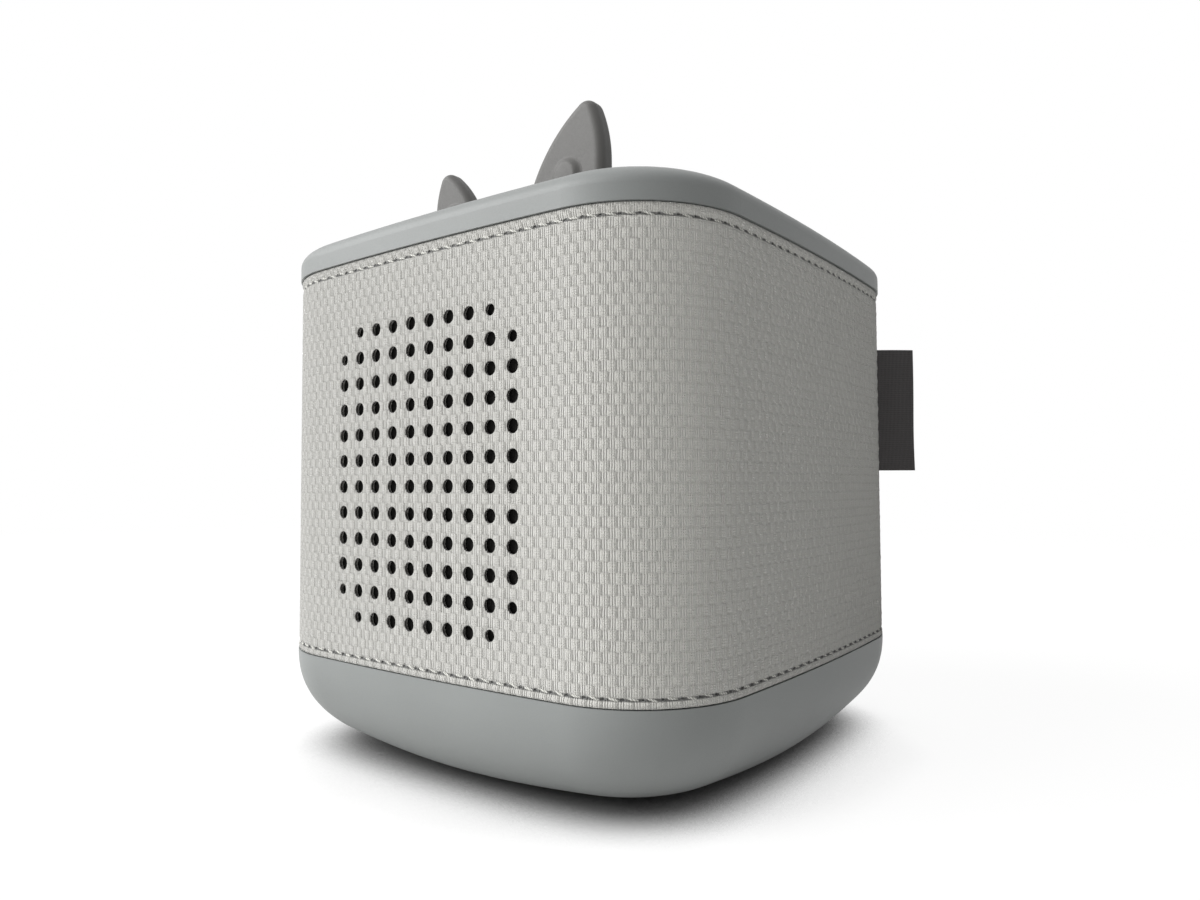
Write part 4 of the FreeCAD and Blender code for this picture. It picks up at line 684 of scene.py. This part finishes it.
def labelSatin():
    # Black damask label tape: satin-woven, with a fine rib across its width and a faint sheen
    material, shader = newMaterial("labelSatin", **{"Roughness": 0.62, "Sheen Weight": 0.25,
                                                    "Sheen Roughness": 0.4, "Specular IOR Level": 0.4})
    uv = addNode(material, "UVMap", uv_map="cloth")
    picks = addNode(material, "TexWave", {"Vector": uv.outputs[0], "Scale": 0.65 / mm, "Distortion": 0.6},
                    bands_direction="Y")
    ends = addNode(material, "TexWave", {"Vector": uv.outputs[0], "Scale": 0.9 / mm, "Distortion": 0.4},
                   bands_direction="X")
    both = addNode(material, "Math", {0: picks.outputs["Fac"], 1: 0.6, 2: ends.outputs["Fac"]},
                   operation="MULTIPLY_ADD")
    tint = addNode(material, "Mix", {"Factor": both.outputs[0], "A": linear("252324"), "B": linear("464343")},
                   data_type="RGBA")
    bump = addNode(material, "Bump", {"Height": both.outputs[0], "Distance": 0.05 * mm})
    return feed(material, shader, {"Base Color": tint.outputs[2], "Normal": bump.outputs[0]})


def speakerCloth():
    # Black acoustic mesh: a fine open net whose openings are painted near-black as the shade behind them
    material, shader = newMaterial("acousticMesh", **{"Roughness": 0.95, "Sheen Weight": 0.1})
    place = addNode(material, "TexCoord")
    net = addNode(material, "TexVoronoi", {"Vector": place.outputs["Object"], "Scale": 1.6 / mm,
                                           "Randomness": 0.15})
    tint = addNode(material, "Mix", {"Factor": net.outputs["Distance"], "A": linear("050403"),
                                     "B": linear("1d1b18")}, data_type="RGBA")
    bump = addNode(material, "Bump", {"Height": net.outputs["Distance"], "Distance": 0.15 * mm})
    return feed(material, shader, {"Base Color": tint.outputs[2], "Normal": bump.outputs[0]})


def circuitBoard():
    # Green solder resist over etched copper: traces show as slightly raised, lighter lines
    material, shader = newMaterial("solderResist", **{"Roughness": 0.35, "Coat Weight": 0.3})
    place = addNode(material, "TexCoord")
    traces = addNode(material, "TexBrick", {
        "Vector": place.outputs["Object"], "Scale": 0.26 / mm, "Mortar Size": 0.03,
        "Color1": linear("0d4a26"), "Color2": linear("0a3f20"), "Mortar": linear("1f7040")})
    bump = addNode(material, "Bump", {"Height": traces.outputs["Fac"], "Distance": 0.03 * mm})
    return feed(material, shader, {"Base Color": traces.outputs["Color"], "Normal": bump.outputs[0]})


def clearPipe():
    # Clear polycarbonate with the faint haze that light pipes are moulded with
    material, shader = newMaterial("clearPolycarbonate", **{"IOR": 1.58, "Transmission Weight": 0.85})
    place = addNode(material, "TexCoord")
    haze = addNode(material, "TexNoise", {"Vector": place.outputs["Object"], "Scale": 1.5 / mm,
                                          "Detail": 2.0})
    tint = addNode(material, "Mix", {"Factor": haze.outputs[0], "A": linear("cfd2d2"), "B": linear("eef0f0")},
                   data_type="RGBA")
    rough = addNode(material, "MapRange", {"Value": haze.outputs[0], "To Min": 0.18, "To Max": 0.34})
    return feed(material, shader, {"Base Color": tint.outputs[2], "Roughness": rough.outputs[0]})


weave, sewingThread, satin, mesh = wovenPolyester(), spunThread(), labelSatin(), speakerCloth()
softCap = grained("softTouchCap", "888b8a", "828584", 0.28 * mm, 0.012 * mm, 0.52, **{"Sheen Weight": 0.1})
mouldedBase = grained("mouldedAbs", "929594", "8c8f8e", 0.25 * mm, 0.014 * mm, 0.5)
siliconeEar = grained("siliconeRubber", "5c5b59", "565553", 0.3 * mm, 0.008 * mm, 0.58,
                      **{"Sheen Weight": 0.1})
blackNylon = grained("blackNylon", "1b1b1c", "121213", 0.3 * mm, 0.02 * mm, 0.55)
charcoalHousing = grained("glassFilledNylon", "3a3b3d", "2b2c2e", 0.4 * mm, 0.03 * mm, 0.6)
ivoryPlug = grained("ivoryPolyamide", "d8d1bd", "cbc4b0", 0.3 * mm, 0.01 * mm, 0.45)
cellSleeve = grained("shrinkSleeve", "2a4f7c", "234468", 1.2 * mm, 0.02 * mm, 0.3)
leadSleeve = grained("vinylSleeve", "7a1a1a", "651313", 0.5 * mm, 0.01 * mm, 0.45)
surroundRubber = grained("butylRubber", "19191a", "111112", 0.35 * mm, 0.01 * mm, 0.6)
greyFoam = fibrous("openCellFoam", "3f3f40", "161617", 0.5 * mm, 0.3 * mm)
paperCone = fibrous("pressedPaper", "26251f", "121210", 0.35 * mm, 0.08 * mm, 0.85)
zincSteel = brushed("zincPlatedSteel", "b9bbbb", "8f9191", 0.32, (1, 1, 6), 0.9 / mm)
nickel = brushed("nickelPlate", "c9c6bd", "b1aea5", 0.18, (1, 1, 1), 0.5 / mm)
ferrite = brushed("sinteredFerrite", "3a3a3c", "29292b", 0.6, (1, 1, 1), 1.8 / mm)
goldContact = brushed("goldPlate", "d9b25a", "c29a42", 0.22, (1, 1, 1), 0.7 / mm)
copperWire = brushed("enamelledCopper", "b0622e", "7d3f1a", 0.3, (1, 8, 1), 0.9 / mm)
board, pipe = circuitBoard(), clearPipe()

finishes = {
    softCap: ["top_cap"],
    mouldedBase: ["base_shell", "battery_door"],
    siliconeEar: ["big_ear_cover", "small_ear_cover", "big_ear_key", "small_ear_key"],
    weave: ["fabric_wrap"],
    satin: ["side_tag"],
    blackNylon: ["jack_bezel", "headphone_jack", "card_socket", "memory_card", "board_chips", "reader_chip",
                 "big_ear_switch", "small_ear_switch", "battery_cradle"],
    charcoalHousing: ["inner_housing", "big_ear_core", "small_ear_core"],
    greyFoam: ["foam_sleeve", "speaker_gasket"],
    mesh: ["speaker_cloth"],
    zincSteel: ["base_screws", "door_screws", "cap_screws", "ear_screws", "speaker_screws", "board_screws",
                "speaker_frame", "speaker_top_plate", "speaker_yoke", "battery_terminals",
                "big_ear_plunger", "small_ear_plunger"],
    ferrite: ["speaker_magnet"],
    goldContact: ["charge_contacts"],
    copperWire: ["voice_coil"],
    board: ["main_board", "contact_board", "reader_board", "light_board", "big_ear_board", "small_ear_board",
            "speaker_terminal"],
    paperCone: ["speaker_cone"],
    surroundRubber: ["speaker_surround"],
    cellSleeve: ["battery_cells"],
    pipe: ["light_pipe", "status_light"],
    nickel: ["figure_magnets"],
    leadSleeve: ["battery_leads", "speaker_leads", "light_lead", "reader_lead", "big_ear_lead",
                 "small_ear_lead"],
    ivoryPlug: ["board_connectors"],
}
dressed = [(nodes[name], material) for material, names in finishes.items() for name in names]
dressed += [(fabricWrap, weave), (loopLabel, satin), (bigSkin, siliconeEar), (smallSkin, siliconeEar)]
dressed += [(row, sewingThread) for row in hemStitches]
for piece, material in dressed:
    piece.data.materials.clear()
    piece.data.materials.append(material)
print("materials", len(finishes) + 1)

# Bodies and replaced nodes
for piece in [fabricWrap, loopLabel, bigSkin, smallSkin] + hemStitches:
    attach(piece, "player")
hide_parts("fabric_wrap")
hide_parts("side_tag")
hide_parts("big_ear_key")
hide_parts("small_ear_key")
for piece, joint, key in ((bigSkin, "volume_up_press", "big_ear_key"),
                          (smallSkin, "volume_down_press", "small_ear_key")):
    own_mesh(piece)

# Camera
view = {"place": (129.44 * mm, -173.30 * mm, 60.94 * mm), "ahead": (-0.5978, 0.8006, 0.0418),
        "roll": math.radians(-0.24), "lens": 25.2, "sensor": 36, "clipStart": 10 * mm}
camera = bpy.data.cameras.new("viewCamera")
cameraObject = bpy.data.objects.new("viewCamera", camera)
bpy.context.scene.collection.objects.link(cameraObject)
bpy.context.scene.camera = cameraObject
camera.lens, camera.sensor_width, camera.clip_start = view["lens"], view["sensor"], view["clipStart"]
cameraObject.location = view["place"]
cameraObject.rotation_mode = "QUATERNION"
cameraObject.rotation_quaternion = (Vector(view["ahead"]).to_track_quat("-Z", "Y")
                                    @ Quaternion((0, 0, 1), view["roll"]))

# Studio: a pale floor, one large soft lamp from the front left, and a weak even sky
studio = {"floor": "e0e0df", "floorSize": 8, "floorSeen": 2.6, "contactReach": 40 * mm,
          "contact": (0.14, 0.68), "paperShare": 0.93, "fade": (0.35, 1.2), "sky": 0.295,
          "lampPower": 27.2, "lampSize": 1.2, "lampPlace": (-0.78, -0.94, 0.85), "lampAim": (0, 0, 0.06)}


def seenDirectly(owner):
    # 1 for what the camera sees, also by way of metal or glass; 0 for light that falls on the object
    rays = addNode(owner, "LightPath")
    seen = addNode(owner, "Math", {0: rays.outputs["Is Camera Ray"], 1: rays.outputs["Is Glossy Ray"]},
                   operation="MAXIMUM")
    seen = addNode(owner, "Math", {0: seen.outputs[0], 1: rays.outputs["Is Transmission Ray"]},
                   operation="MAXIMUM")
    return seen.outputs[0]


deselectAll()
bpy.ops.mesh.primitive_plane_add(size=studio["floorSize"])
floor = named("studioFloor")
paint = bpy.data.materials.new("matteFloor")
paint.use_nodes = True
paint.node_tree.nodes.clear()
seen = seenDirectly(paint)
floorColour = linear(studio["floor"])
bright = tuple(c * studio["floorSeen"] for c in floorColour[:3]) + (1.0,)
# the floor is white to the eye, but for a painted soft contact shade close to the base, taken from ambient
# occlusion
contact = addNode(paint, "AmbientOcclusion", {"Distance": studio["contactReach"]}, samples=8)
paintedShade = addNode(paint, "MapRange", {"Value": contact.outputs["AO"], "From Min": studio["contact"][0],
                                     "From Max": studio["contact"][1]}, interpolation_type="SMOOTHSTEP")
matte = addNode(paint, "BsdfDiffuse", {"Color": floorColour})
lit = addNode(paint, "BsdfDiffuse", {"Color": bright})
paper = addNode(paint, "Emission", {"Strength": paintedShade.outputs[0]})
shown = addNode(paint, "MixShader", {0: studio["paperShare"], 1: lit.outputs[0], 2: paper.outputs[0]})
place = addNode(paint, "TexCoord")
away = addNode(paint, "VectorMath", {0: place.outputs["Object"]}, operation="LENGTH")
far = addNode(paint, "MapRange", {"Value": away.outputs["Value"], "From Min": studio["fade"][0],
                                  "From Max": studio["fade"][1]})
white = addNode(paint, "Emission", {"Strength": 1.0})
shown = addNode(paint, "MixShader", {0: far.outputs[0], 1: shown.outputs[0], 2: white.outputs[0]})
both = addNode(paint, "MixShader", {0: seen, 1: matte.outputs[0], 2: shown.outputs[0]})
addNode(paint, "OutputMaterial", {"Surface": both.outputs[0]})
floor.data.materials.append(paint)

sky = bpy.context.scene.world or bpy.data.worlds.new("studioSky")
bpy.context.scene.world = sky
sky.use_nodes = True
sky.node_tree.nodes.clear()
strength = addNode(sky, "Mix", {"Factor": seenDirectly(sky), "A": studio["sky"], "B": 1.0})
glow = addNode(sky, "Background", {"Color": (1, 1, 1, 1), "Strength": strength.outputs[0]})
addNode(sky, "OutputWorld", {"Surface": glow.outputs[0]})

lamp = bpy.data.lights.new("softLamp", "AREA")
lamp.energy, lamp.size = studio["lampPower"], studio["lampSize"]
lampObject = bpy.data.objects.new("softLamp", lamp)
bpy.context.scene.collection.objects.link(lampObject)
lampObject.location = studio["lampPlace"]
lampObject.rotation_mode = "QUATERNION"
lampAhead = Vector(studio["lampAim"]) - Vector(studio["lampPlace"])
lampObject.rotation_quaternion = lampAhead.to_track_quat("-Z", "Y")
bpy.context.scene.view_settings.view_transform = "Standard"
print("studio ready")
